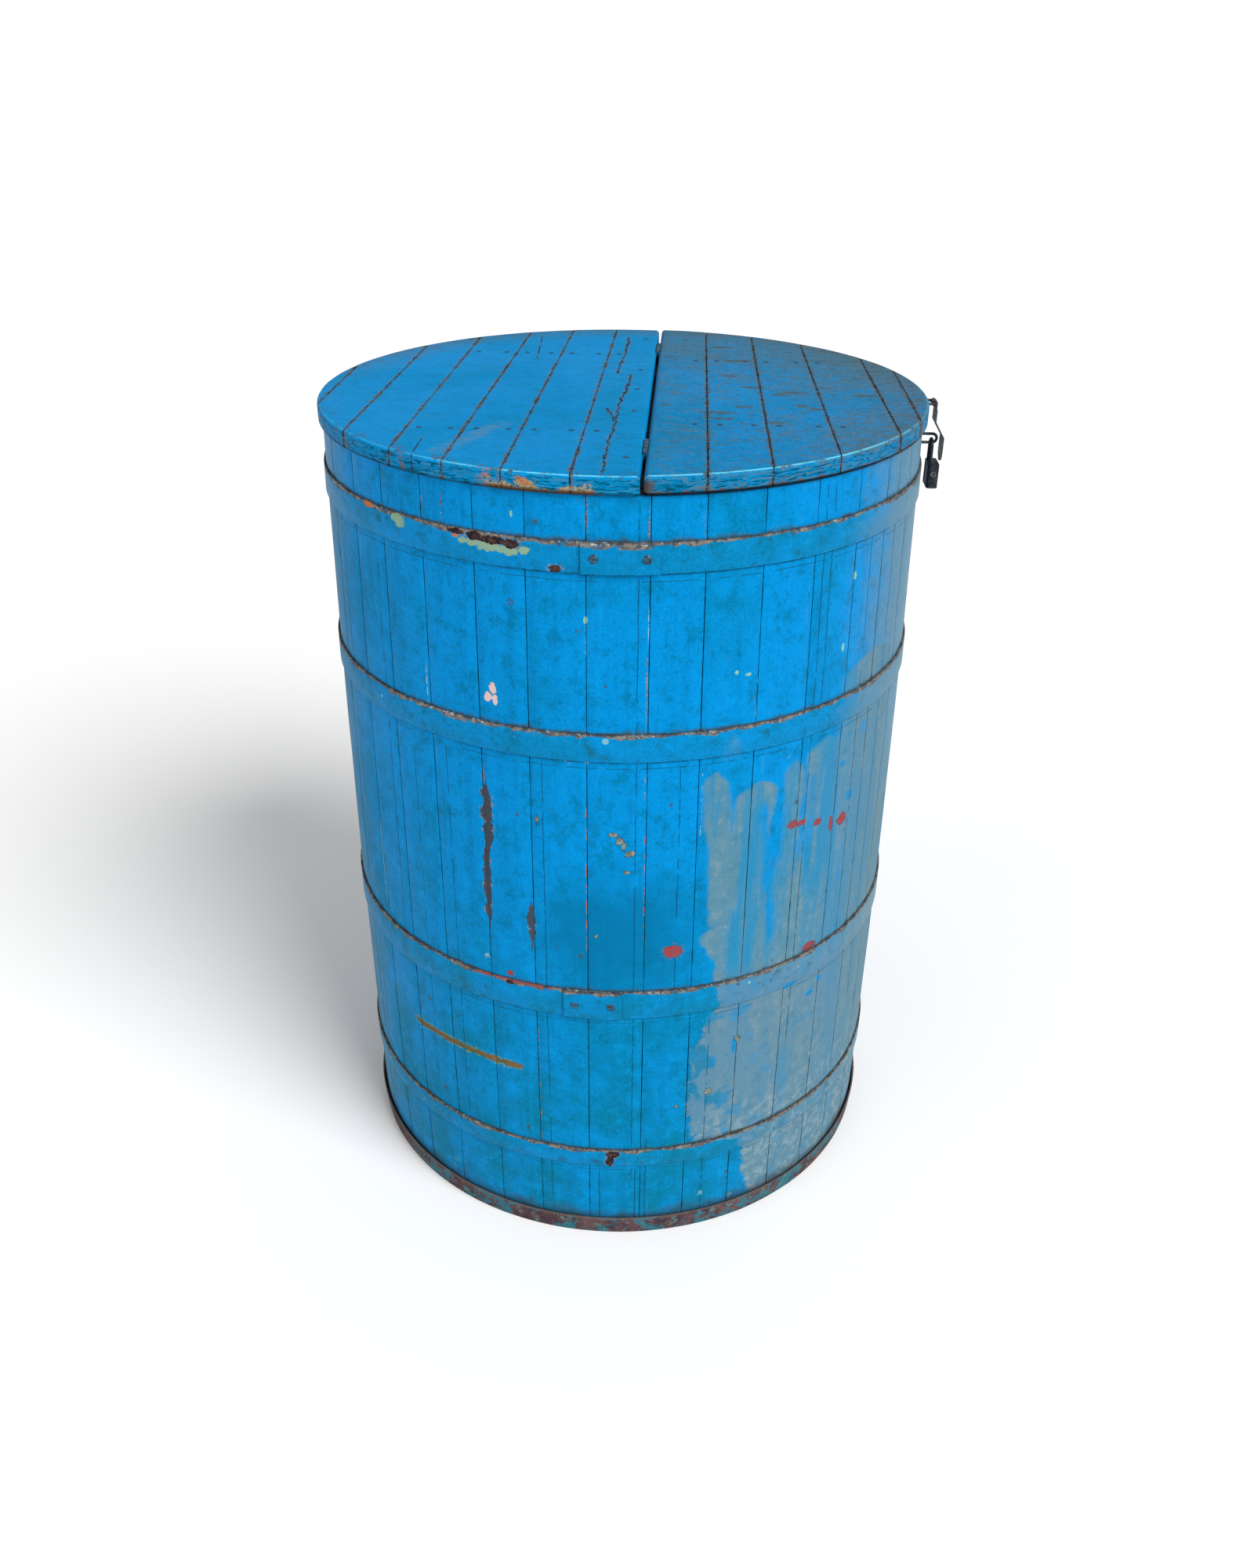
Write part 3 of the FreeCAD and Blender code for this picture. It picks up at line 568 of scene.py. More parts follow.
TAN_FLECKS = ((1.4, 0.721, 0.0046, 0.0026, 4.2), (2.5, 0.712, 0.0036, 0.0060, 4.6),
              (3.4, 0.703, 0.0030, 0.0052, 4.6), (4.3, 0.692, 0.0046, 0.0044, 4.6),
              (-12.4, 0.735, 0.0030, 0.0060, 4.2), (4.0, 0.664, 0.0036, 0.0020, 4.2),
              (-1.6, 0.560, 0.0022, 0.0030, 3.8), (14.4, 0.250, 0.0030, 0.0050, 4.2),
              (21.0, 0.268, 0.0040, 0.0042, 4.2), (26.8, 0.357, 0.0050, 0.0042, 4.2))
# Long flakes off the joints: angle, lower end, upper end, half width
SLATE_FLAKES = ((-22.1, 0.655, 0.782, 0.0068), (-22.6, 0.535, 0.690, 0.0044),
                (-13.9, 0.518, 0.612, 0.0052))
# Chips on the hoops
BLACK_HOOP_CHIPS = ((-25.6, 1.1120, 0.0150, 0.0036, 2.2), (-21.8, 1.1100, 0.0150, 0.0052, 2.4),
                    (-18.6, 1.1088, 0.0150, 0.0050, 2.4), (-15.8, 1.1066, 0.0130, 0.0050, 2.4),
                    (-8.2, 1.0818, 0.0080, 0.0046, 2.0), (1.6, 0.1640, 0.0100, 0.0060, 1.4),
                    (1.0, 0.1500, 0.0060, 0.0100, 1.6), (-18.6, 0.4640, 0.0060, 0.0040, 1.8))
MINT_HOOP_CHIPS = ((-38.4, 1.1075, 0.0120, 0.0080, 2.2), (-22.8, 1.1030, 0.0160, 0.0052, 2.4),
                   (-19.6, 1.1000, 0.0170, 0.0064, 2.4), (-16.2, 1.0985, 0.0160, 0.0066, 2.4),
                   (-13.4, 1.1000, 0.0080, 0.0050, 2.4))
ORANGE_HOOP_CHIPS = ((-47.0, 1.1130, 0.0100, 0.0044, 1.6), (-25.9, 1.1062, 0.0050, 0.0022, 1.8))
# Cracks: angle, lower end, upper end, width, how broken
CRACKS = ((-11.2, 0.05, 0.83, 0.0008, 0.40), (-30.4, 0.17, 0.83, 0.0008, 0.42),
          (5.4, 0.10, 1.17, 0.0007, 0.40), (13.2, 0.45, 0.83, 0.0008, 0.44),
          (39.3, 0.30, 1.17, 0.0010, 0.38), (41.2, 0.86, 1.17, 0.0009, 0.38),
          (20.6, 0.00, 0.42, 0.0008, 0.44), (-38.6, 0.20, 0.80, 0.0007, 0.44),
          (-45.9, 0.5, 1.06, 0.0007, 0.44), (52.5, 0.45, 1.10, 0.0009, 0.38),
          (61.5, 0.30, 1.17, 0.0010, 0.36), (-60.3, 0.2, 1.1, 0.0008, 0.42),
          (-1.2, 0.00, 0.14, 0.0010, 0.30), (6.2, 0.00, 0.14, 0.0010, 0.30),
          (8.4, 0.00, 0.20, 0.0008, 0.34), (120.0, 0.2, 0.9, 0.0009, 0.4),
          (155.0, 0.1, 0.8, 0.0009, 0.4), (-100.0, 0.3, 1.0, 0.0009, 0.4),
          (-135.0, 0.1, 0.9, 0.0009, 0.4))
WHITE_DRIPS = ((-53.0, 0.485, 0.64, 0.0010, 0.36), (-34.1, 0.862, 0.93, 0.0012, 0.42),
               (7.2, 0.985, 1.04, 0.0010, 0.44), (-3.2, 0.955, 1.03, 0.0008, 0.48),
               (17.2, 0.700, 0.86, 0.0007, 0.50), (26.8, 0.86, 0.97, 0.0008, 0.50))
RED_SEAMS = ((-3.30, 0.53, 0.765, 0.0017, 0.48), (7.2, 0.553, 0.73, 0.0015, 0.50),
             (-22.6, 0.62, 0.80, 0.0013, 0.50), (-22.5, 0.770, 0.805, 0.0022, 0.42))
TAN_SEAMS = ((-3.1, 1.122, 1.176, 0.0022, 0.44), (-28.8, 1.115, 1.160, 0.0020, 0.45),
             (-33.0, 1.125, 1.152, 0.0018, 0.45), (-23.5, 1.128, 1.152, 0.0015, 0.46),
             (7.0, 1.100, 1.165, 0.0018, 0.46), (49.6, 1.090, 1.172, 0.0018, 0.44),
             (-13.2, 0.150, 0.400, 0.0016, 0.50), (7.0, 0.760, 0.980, 0.0014, 0.50))
# Left edge of the scraped part: height, angle
SCRAPED_EDGE = ((0.0, 31.8), (0.10, 30.0), (0.155, 28.2), (0.180, 18.6), (0.264, 16.92), (0.353, 17.4),
                (0.400, 20.4), (0.474, 21.6), (0.500, 21.12), (0.530, 19.08), (0.550, 18.24),
                (0.570, 20.7), (0.604, 20.28), (0.644, 19.2), (0.700, 18.6), (1.0, 18.6))
EDGE_SPAN = 60.0
# Where the top coat is scraped off: angle, lean, half width, lower end, upper end, softness
SCRAPED = ((19.6, 11.0, 3.1, 0.55, 0.808, 1.2), (28.4, -15.0, 4.7, 0.58, 0.782, 1.1),
           (36.2, 0.0, 2.9, 0.60, 0.800, 1.6), (44.0, 0.0, 6.0, 0.40, 0.818, 2.4),
           (57.0, 0.0, 11.0, 0.30, 0.915, 3.2), (22.4, 0.0, 2.2, 0.815, 0.862, 1.4))
LEFT_IN_BLUE = ((29.6, 14.0, 2.0, 0.500, 0.752, 2.1), (37.6, 0.0, 1.5, 0.600, 0.690, 2.4),
                (40.6, 0.0, 1.6, 0.560, 0.780, 2.8), (50.6, 0.0, 1.8, 0.520, 0.640, 2.8))
BLUE_SPOTS = ((52.2, 0.702, 0.0115, 0.0085, 1.2), (38.9, 0.422, 0.0130, 0.0060, 1.8),
              (45.0, 0.384, 0.0100, 0.0060, 1.8), (48.0, 0.401, 0.0070, 0.0040, 1.8),
              (26.2, 0.345, 0.0030, 0.0130, 1.6), (55.5, 0.640, 0.0040, 0.0050, 1.4),
              (58.5, 0.560, 0.0050, 0.0060, 1.8), (56.0, 0.800, 0.0090, 0.0100, 1.8),
              (59.5, 0.720, 0.0060, 0.0080, 1.8), (49.0, 0.760, 0.0050, 0.0050, 1.4))


def gather(f, group, rows, labels, **shared):
    """One group used once for every row of a table, its masks gathered as they come."""
    found = {}
    for row in rows:
        made = f.use(group, **shared, **dict(zip(labels, row)))
        for output in made:
            before = found.get(output.name)
            found[output.name] = f.any_of(before, output) if before else output
    return found


def chips(f, wall, noise, rows):
    """All the chips of one colour: their mask, and the rims round them."""
    found = gather(f, chip, rows, ("at_angle", "at_height", "half_width", "half_height", "ragged"),
                   angle=wall["Angle"], height=wall["Height"], noise=noise)
    return found.get("Mask", 0.0), found.get("Rim", 0.0)


def cracks(f, wall, noise, rows):
    return gather(f, crack, rows, ("at_angle", "low", "high", "width", "broken"),
                  angle=wall["Angle"], height=wall["Height"], noise=noise).get("Mask", 0.0)


def swaths(f, wall, noise, rows):
    return gather(f, swath, rows, ("at_angle", "lean", "half_width", "low", "high", "soft"),
                  angle=wall["Angle"], height=wall["Height"], noise=noise)["Mask"]


def hoop_edges():
    """Lower and upper edge of each hoop above the foot, from the frame."""
    names = ("hoop_top", "hoop_upper", "hoop_middle", "hoop_lower")
    return [(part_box(name)[0][2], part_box(name)[1][2]) for name in names]


# ------------------------------------------------------------------ materials
def scraped_patch(f, wall, place, soft_noise):
    """The large part on the right where the top coat is scraped off down to old grey."""
    left_edge = f.curve(wall["Height"], [(height, angle / EDGE_SPAN) for height, angle in SCRAPED_EDGE])
    torn = f.noise(place, 58.0, 6.0, 0.7, 0.5)
    jagged = f.times(f.minus(torn, 0.5), f.ramp(wall["Height"], 0.50, 0.42, 3.0, 9.0))
    shaken = f.plus(wall["Angle"], f.plus(f.shake(soft_noise, 3.0), jagged))
    inside = f.ramp(f.minus(shaken, f.times(left_edge, EDGE_SPAN)), -0.2, 0.7)
    body = f.times(inside, f.ramp(wall["Height"], 0.665, 0.625), f.ramp(wall["Angle"], 112.0, 98.0))
    patch = f.any_of(body, swaths(f, wall, soft_noise, SCRAPED))
    kept = f.any_of(swaths(f, wall, soft_noise, LEFT_IN_BLUE), chips(f, wall, soft_noise, BLUE_SPOTS)[0])
    blots = f.times(f.ramp(soft_noise, 0.54, 0.62), f.ramp(wall["Angle"], 32.0, 22.0, 0.25, 0.85),
                    f.ramp(wall["Height"], 0.48, 0.44))
    return f.times(patch, f.minus(1.0, f.times(f.any_of(kept, blots), 0.92)))


def scraped_color(f, wall, place, fine_noise):
    upright = f.stretch(place, 1.0, 1.0, 0.10)
    bands = f.noise(upright, 26.0, 6.0, 0.68)
    mottle = f.noise(place, 64.0, 6.0, 0.72, 0.3)
    low_share = f.ramp(wall["Height"], 0.50, 0.44, 0.0, 0.6)
    far_share = f.ramp(wall["Angle"], 40.0, 58.0, 0.0, 0.5)
    grey = f.two_tone(bands, 0.38, 0.58, rgb(46, 142, 188), rgb(98, 144, 162))
    grey = f.mix(f.any_of(low_share, far_share), grey, rgb(116, 142, 152))
    pale = f.times(f.ramp(mottle, 0.50, 0.64), f.ramp(bands, 0.42, 0.56))
    grey = f.mix(f.times(pale, 0.6), grey, rgb(134, 160, 170))
    grey = f.mix(f.ramp(mottle, 0.46, 0.34, 0.0, 0.45), grey, rgb(56, 122, 150))
    low = f.times(f.ramp(wall["Height"], 0.26, 0.18), f.ramp(mottle, 0.50, 0.58))
    grey = f.mix(f.times(low, 0.5), grey, rgb(154, 176, 182))
    return f.mix(f.ramp(fine_noise, 0.56, 0.70, 0.0, 0.4), grey, rgb(84, 116, 132))


def near(rows, middle, reach):
    """The rows whose angle lies within reach of the middle of a section of the wall."""
    return [row for row in rows if abs((row[0] - middle + 180) % 360 - 180) < reach]


def grazing_sheen_share(f, side, start, full):
    """How much painted sheen greys the wall: most where it turns away to each side, less behind."""
    return f.any_of(f.times(f.ramp(side, start, full), f.ramp(side, 84.0, 108.0, 0.80, 0.36)),
                    f.times(f.ramp(side, -54.0, -76.0), f.ramp(side, -84.0, -108.0, 0.60, 0.36)))


def stale_middle(f, wall, color, calm):
    """A duller patch in the middle of the front."""
    beside_middle = f.divide(f.minus(wall["Angle"], 3.0), 17.0)
    beside_level = f.divide(f.minus(wall["Height"], 0.560), 0.115)
    away = f.distance(beside_middle, beside_level)
    stale = f.ramp(f.plus(away, f.shake(calm, 1.2)), 1.25, 0.35, 0.0, 0.75)
    return f.mix(stale, color, rgb(0, 116, 164))


def stave_lines(f, wall, color, noises, here):
    """Joints, cracks and drips; gives the colour, the torn paint and the dark lines."""
    fine, ragged, coarse = noises
    seam = f.use(seam_dirt, distance=f.measure("to_seam"), noise=coarse, width=0.00055, wear=0.9)
    torn = f.times(seam["Worn"], f.ramp(ragged, 0.47, 0.54))
    color = f.mix(torn, color, f.two_tone(ragged, 0.55, 0.72, rgb(70, 96, 104), rgb(176, 164, 144)))
    red_line = cracks(f, wall, ragged, here(RED_SEAMS))
    color = f.mix(f.times(red_line, 0.9), color,
                  f.two_tone(fine, 0.48, 0.58, rgb(176, 66, 62), rgb(190, 130, 100)))
    drip = cracks(f, wall, ragged, here(WHITE_DRIPS))
    color = f.mix(f.times(drip, 0.8), color, rgb(170, 205, 205))
    tan_line = cracks(f, wall, ragged, here(TAN_SEAMS))
    color = f.mix(f.times(tan_line, 0.85), color,
                  f.two_tone(fine, 0.46, 0.58, rgb(92, 96, 88), rgb(172, 152, 122)))
    split = cracks(f, wall, coarse, here(CRACKS))
    dark_line = f.any_of(seam["Dirt"], f.times(split, 0.75))
    return f.mix(f.times(dark_line, 0.78), color, rgb(14, 56, 74)), torn, dark_line


def stave_chips(f, wall, color, noises, here):
    """Long flakes and small chips in several old coats; gives the colour and their mask."""
    fine, ragged, coarse = noises
    flakes = gather(f, flake, here(SLATE_FLAKES), ("at_angle", "low", "high", "half_width"),
                    angle=wall["Angle"], height=wall["Height"], broad=coarse, fine=ragged)
    slate = flakes.get("Mask", 0.0)
    slate_rim = flakes.get("Rim", 0.0)
    color = f.mix(f.times(slate_rim, f.ramp(ragged, 0.50, 0.58), 0.8), color,
                  f.two_tone(fine, 0.46, 0.58, rgb(92, 104, 96), rgb(180, 156, 128)))
    color = f.mix(slate, color, f.two_tone(ragged, 0.4, 0.7, SLATE, rgb(88, 82, 86)))
    reds, red_rim = chips(f, wall, ragged, here(RED_CHIPS))
    color = f.mix(f.times(red_rim, f.ramp(fine, 0.50, 0.56), 0.5), color, rgb(120, 110, 120))
    color = f.mix(reds, color, f.two_tone(fine, 0.42, 0.54, RED, rgb(132, 88, 96)))
    pale = chips(f, wall, ragged, here(PALE_CHIPS))[0]
    color = f.mix(pale, color, PINK_WHITE)
    mint = chips(f, wall, ragged, here(MINT_CHIPS))[0]
    color = f.mix(mint, color, rgb(140, 196, 180))
    flecks, fleck_rim = chips(f, wall, ragged, here(TAN_FLECKS))
    color = f.mix(f.times(fleck_rim, 0.6), color, rgb(28, 84, 104))
    color = f.mix(flecks, color, f.two_tone(fine, 0.46, 0.56, rgb(150, 158, 148), rgb(112, 110, 96)))
    return color, f.any_of(slate, reds, pale, flecks)


def long_scrape(f, wall, color, noises):
    """A long shallow scrape, brown with yellow-green edges; gives the colour and its mask."""
    fine, ragged, coarse = noises
    off = f.minus(wall["Height"], f.shake(coarse, 0.006))
    off = f.divide(f.absolute(f.minus(off, SCRAPE_HEIGHT)), f.ramp(ragged, 0.34, 0.66, 0.0026, 0.0062))
    ends = f.times(f.ramp(wall["Angle"], -46.0, -43.5), f.ramp(wall["Angle"], -16.4, -17.4))
    color = f.mix(f.times(f.ramp(off, 1.7, 1.3), ends, f.ramp(fine, 0.46, 0.54), 0.9), color,
                  rgb(134, 158, 92))
    scrape = f.times(f.ramp(off, 1.05, 0.85), ends)
    return f.mix(scrape, color, f.two_tone(ragged, 0.42, 0.60, rgb(104, 98, 66), rgb(134, 104, 70))), scrape


def hoop_shade_and_dirt(f, wall, color, ragged, coarse):
    """Dirt and painted shade in the gap above the hoops, a ridge of paint and a line of painted shade below
    them, painted shade under the lid at the top of the wall, and dirt at the foot.
    """
    for low, high in hoop_edges():
        # dirt and painted shade in the gap just above each hoop
        above = f.ramp(f.minus(wall["Height"], high), f.ramp(coarse, 0.35, 0.7, 0.002, 0.010), 0.0)
        over = f.math("GREATER_THAN", wall["Height"], (low + high) / 2)
        color = f.mix(f.times(above, over, f.ramp(ragged, 0.40, 0.56, 0.3, 0.9)), color, rgb(66, 84, 88))
        ridge = f.minus(low - RIDGE_DROP, f.minus(wall["Height"], f.shake(coarse, 0.004)))
        ridge = f.times(f.ramp(f.absolute(ridge), 0.0011, 0.0003), f.ramp(coarse, 0.44, 0.50))
        color = f.mix(f.times(ridge, 0.6), color, rgb(16, 84, 112))
        # painted shade on the wall just below each hoop
        below = f.ramp(f.minus(low, wall["Height"]), f.ramp(coarse, 0.35, 0.7, 0.001, 0.004), 0.0)
        under = f.math("LESS_THAN", wall["Height"], (low + high) / 2)
        color = f.mix(f.times(below, under, 0.8), color, rgb(10, 52, 70))
    # painted shade under the overhanging lid, at the top of the wall
    rim_shade = f.times(f.ramp(wall["Height"], WALL_HEIGHT - 0.0030, WALL_HEIGHT - 0.0010),
                        f.ramp(wall["Angle"], 2.0, 8.0, 0.4, 0.9))
    color = f.mix(rim_shade, color, rgb(12, 20, 26))
    foot_dirt = f.ramp(f.minus(wall["Height"], f.times(coarse, 0.05)), 0.028, 0.0)
    return f.mix(f.times(foot_dirt, 0.7), color, rgb(60, 66, 66))


def stave_paint(section):
    """The paint of one section of the wall, with only the marks that fall in it."""
    middle = FIRST_SEAM + (section + 0.5) * SECTION_ANGLE
    reach = SECTION_ANGLE / 2 + 3

    def here(rows):
        return near(rows, middle, reach)

    material, f, shader, place = new_material("stave_paint_%d" % (section + 1), Specular_IOR_Level=0.025)
    wall = f.use(round_the_wall, place=place)
    brushed = f.stretch(place, 1.0, 1.0, 0.045)
    fine = f.noise(place, 260.0, 4.0, 0.65, 0.2)
    ragged = f.noise(place, 95.0, 6.0, 0.68, 0.3)
    coarse = f.noise(place, 30.0, 6.0, 0.66, 0.5)
    noises = (fine, ragged, coarse)
    calm = f.noise(place, 26.0, 3.0, 0.45, 0.2)
    paint = f.use(old_blue, place=place, brushed=brushed, tone=f.measure("tone"),
                  green=f.ramp(wall["Height"], 0.80, 0.12, 0.06, 1.0))
    color = stale_middle(f, wall, paint["Color"], calm)
    # painted sheen: the paint is greyed where the wall turns away to each side
    grazing_sheen = grazing_sheen_share(f, f.plus(wall["Angle"], f.shake(coarse, 22.0)), 45.0, 66.0)
    color = f.mix(grazing_sheen, color, f.two_tone(ragged, 0.36, 0.66, rgb(112, 144, 154), rgb(86, 136, 156)))

    undercoat = 0.0
    if here(SCRAPED):
        undercoat = scraped_patch(f, wall, place, calm)
        thin_layer = f.times(undercoat, f.ramp(wall["Angle"], 36.0, 48.0, 0.95, 0.86))
        color = f.mix(thin_layer, color, scraped_color(f, wall, place, fine))
    color, torn, dark_line = stave_lines(f, wall, color, noises, here)
    color, chip_mask = stave_chips(f, wall, color, noises, here)
    color, scrape = long_scrape(f, wall, color, noises)
    white = f.use(specks, place=place, scale=42.0, share=0.03)["Mask"]
    dots = f.use(specks, place=f.stretch(place, 1.0, 1.0, 0.8), scale=60.0, share=0.05)["Mask"]
    color = f.mix(f.times(white, f.ramp(ragged, 0.45, 0.55), 0.7), color, rgb(150, 196, 205))
    color = f.mix(f.times(dots, f.ramp(ragged, 0.48, 0.56), 0.75), color, rgb(70, 76, 72))
    color = hoop_shade_and_dirt(f, wall, color, ragged, coarse)

    # inside, the wood is bare
    wood = f.use(old_wood, along=f.stretch(place, 1.0, 1.0, 0.06))
    bare = f.ramp(wall["Radius"], BARE_INSIDE + 0.001, BARE_INSIDE - 0.001)
    f.feed(shader["Base Color"], f.mix(bare, color, wood["Color"]))
    chipped = f.any_of(chip_mask, scrape, torn)
    sheen = f.plus(f.ramp(paint["Cloud"], 0.35, 0.7, 0.36, 0.52), f.times(chipped, 0.3))
    f.feed(shader["Roughness"], f.any_of(sheen, f.times(bare, 0.8), f.times(undercoat, 0.62)))
    height = f.plus(f.times(paint["Streaks"], 0.5), f.times(ragged, 0.22))
    height = f.plus(height, f.times(f.any_of(chipped, dark_line), -0.9))
    height = f.plus(height, f.times(undercoat, -0.25))
    height = f.plus(height, f.times(wood["Grain"], bare))
    relief(f, shader, height, 0.0014, 0.9)
    return material


def hoop_paint():
    material, f, shader, place = new_material("hoop_paint", Specular_IOR_Level=0.04)
    wall = f.use(round_the_wall, place=place)
    along = f.stretch(place, 1.0, 1.0, 2.0)
    fine = f.noise(place, 260.0, 4.0, 0.65, 0.2)
    ragged = f.noise(place, 110.0, 6.0, 0.68, 0.3)
    coarse = f.noise(along, 26.0, 6.0, 0.66, 0.4)
    calm = f.noise(place, 26.0, 3.0, 0.45, 0.2)
    paint = f.use(old_blue, place=place, brushed=along, tone=0.75,
                  green=f.ramp(wall["Height"], 0.95, 0.12, 0.35, 0.9))
    # painted sheen: the hoops are greyed where they turn away to each side
    grazing_sheen = grazing_sheen_share(f, f.plus(wall["Angle"], f.shake(coarse, 20.0)), 42.0, 64.0)
    color = f.mix(grazing_sheen, paint["Color"], rgb(100, 140, 156))
    rubbed = f.times(scraped_patch(f, wall, place, calm), f.ramp(wall["Height"], 0.50, 0.46, 0.35, 0.72))
    color = f.mix(rubbed, color, scraped_color(f, wall, place, fine))
    stain = f.ramp(f.noise(place, 44.0, 6.0, 0.7, 0.6), 0.56, 0.68)
    color = f.mix(f.times(stain, 0.55), color, rgb(30, 92, 112))

    # the upper edge is rubbed through to rust and old coats; the lower edge gets only a line of painted
    # shade
    from_top = f.measure("from_top")
    from_bottom = f.measure("from_bottom")
    reach = f.ramp(coarse, 0.36, 0.66, 0.0018, 0.0080)
    rub = f.times(f.ramp(f.divide(from_top, reach), 1.08, 0.86), f.ramp(ragged, 0.34, 0.50, 0.45, 1.0))
    worn = f.two_tone(ragged, 0.42, 0.60, rgb(78, 72, 70), rgb(140, 136, 130))
    worn = f.mix(f.ramp(fine, 0.54, 0.66, 0.0, 0.55), worn, rgb(168, 160, 150))
    worn = f.mix(f.ramp(coarse, 0.58, 0.68), worn, rgb(108, 96, 88))
    color = f.mix(rub, color, worn)
    ledge = f.ramp(from_top, 0.0012, 0.0007)
    ledge_color = f.two_tone(ragged, 0.42, 0.58, rgb(74, 68, 68), rgb(120, 114, 110))
    color = f.mix(f.times(ledge, f.ramp(coarse, 0.36, 0.46, 0.65, 1.0)), color, ledge_color)
    crumbs = f.times(f.ramp(fine, 0.55, 0.60), f.ramp(from_top, 0.0055, 0.0010),
                     f.ramp(coarse, 0.42, 0.52))
    crumbs = f.times(crumbs, f.ramp(calm, 0.46, 0.58), f.ramp(wall["Angle"], 30.0, 14.0, 0.2, 0.9))
    color = f.mix(crumbs, color, rgb(196, 206, 206))
    # painted shade along the lower edge of each hoop
    lower = f.ramp(f.divide(from_bottom, f.ramp(ragged, 0.4, 0.7, 0.0006, 0.0020)), 1.0, 0.5)
    color = f.mix(f.times(lower, 0.85), color, rgb(20, 52, 64))
    red_edge = f.times(f.ramp(from_top, 0.006, 0.002), f.ramp(wall["Angle"], -29.0, -27.0),
                       f.ramp(wall["Angle"], -9.0, -11.0), f.math("LESS_THAN", wall["Height"], 0.5),
                       f.math("GREATER_THAN", wall["Height"], 0.4), f.ramp(ragged, 0.45, 0.52))
    color = f.mix(f.times(red_edge, 0.75), color, rgb(160, 72, 66))

    mint = chips(f, wall, ragged, MINT_HOOP_CHIPS)[0]
    color = f.mix(mint, color, f.two_tone(ragged, 0.45, 0.7, MINT, rgb(120, 176, 170)))
    black, black_rim = chips(f, wall, ragged, BLACK_HOOP_CHIPS)
    color = f.mix(f.times(black_rim, f.ramp(fine, 0.50, 0.58), 0.9), color, rgb(168, 140, 112))
    color = f.mix(black, color, f.two_tone(ragged, 0.42, 0.62, rgb(40, 36, 44), rgb(96, 68, 60)))
    color = f.mix(chips(f, wall, ragged, ORANGE_HOOP_CHIPS)[0], color, ORANGE)
    dots = f.use(specks, place=place, scale=70.0, share=0.07)["Mask"]
    color = f.mix(f.times(dots, f.ramp(ragged, 0.48, 0.56), 0.8), color, rgb(78, 70, 62))
    pale = f.use(specks, place=place, scale=55.0, share=0.03)["Mask"]
    color = f.mix(f.times(pale, 0.7), color, rgb(150, 200, 205))
    f.feed(shader["Base Color"], color)
    bare = f.any_of(rub, black, f.times(mint, 0.6))
    f.feed(shader["Roughness"], f.plus(f.ramp(paint["Cloud"], 0.35, 0.7, 0.36, 0.5), f.times(bare, 0.32)))
    height = f.plus(f.times(coarse, 0.6), f.times(ragged, 0.35))
    relief(f, shader, f.plus(height, f.times(bare, -0.8)), 0.0011, 0.7)
    return material


def foot_hoop_rust():
    material, f, shader, place = new_material("foot_hoop_rust", Specular_IOR_Level=0.12)
    fine = f.noise(place, 300.0, 4.0, 0.65, 0.2)
    ragged = f.noise(place, 120.0, 6.0, 0.7, 0.4)
    coarse = f.noise(place, 34.0, 6.0, 0.7, 0.5)
    color = f.two_tone(coarse, 0.38, 0.62, rgb(66, 50, 60), rgb(104, 76, 78))
    color = f.mix(f.ramp(ragged, 0.52, 0.66), color, rgb(124, 96, 88))
    left_blue = f.ramp(f.noise(place, 22.0, 7.0, 0.75, 0.6), 0.49, 0.56)
    color = f.mix(f.times(left_blue, 0.85), color, rgb(40, 124, 142))
    left_green = f.ramp(f.noise(place, 52.0, 6.0, 0.7, 0.3), 0.56, 0.62)
    color = f.mix(f.times(left_green, 0.8), color, rgb(84, 136, 126))
    color = f.mix(f.ramp(fine, 0.56, 0.66, 0.0, 0.5), color, rgb(38, 34, 40))
    # painted highlight along the top edge of the foot hoop
    color = f.mix(f.ramp(f.measure("from_top"), 0.0025, 0.0008, 0.0, 0.7), color, rgb(116, 98, 92))
    f.feed(shader["Base Color"], color)
    f.feed(shader["Roughness"], f.ramp(ragged, 0.3, 0.7, 0.6, 0.9))
    relief(f, shader, f.plus(coarse, f.times(ragged, 0.5)), 0.0016, 0.8)
    return material


DRAWN_SCALE = 4


def drawn_crack(f, x, y, jagged, points, width):
    """A crack along a line drawn on the lid; points are (y, x) in metres from the front to the back."""
    span = 2 * LID_RADIUS
    y_share = f.plus(f.times(y, 1 / span), 0.5)
    line = f.curve(y_share, [(at / span + 0.5, aside * DRAWN_SCALE + 0.5) for at, aside in points])
    centre = f.shake(line, 1 / DRAWN_SCALE)
    wander = f.shake(jagged, 0.020)
    off = f.absolute(f.minus(x, f.plus(centre, wander)))
    first = points[0][0] / span + 0.5
    last = points[-1][0] / span + 0.5
    ends = f.times(f.ramp(y_share, first - 0.002, first + 0.012),
                   f.ramp(y_share, last + 0.002, last - 0.012))
    return f.times(f.divide(width, f.math("MAXIMUM", off, 0.0001)), ends)


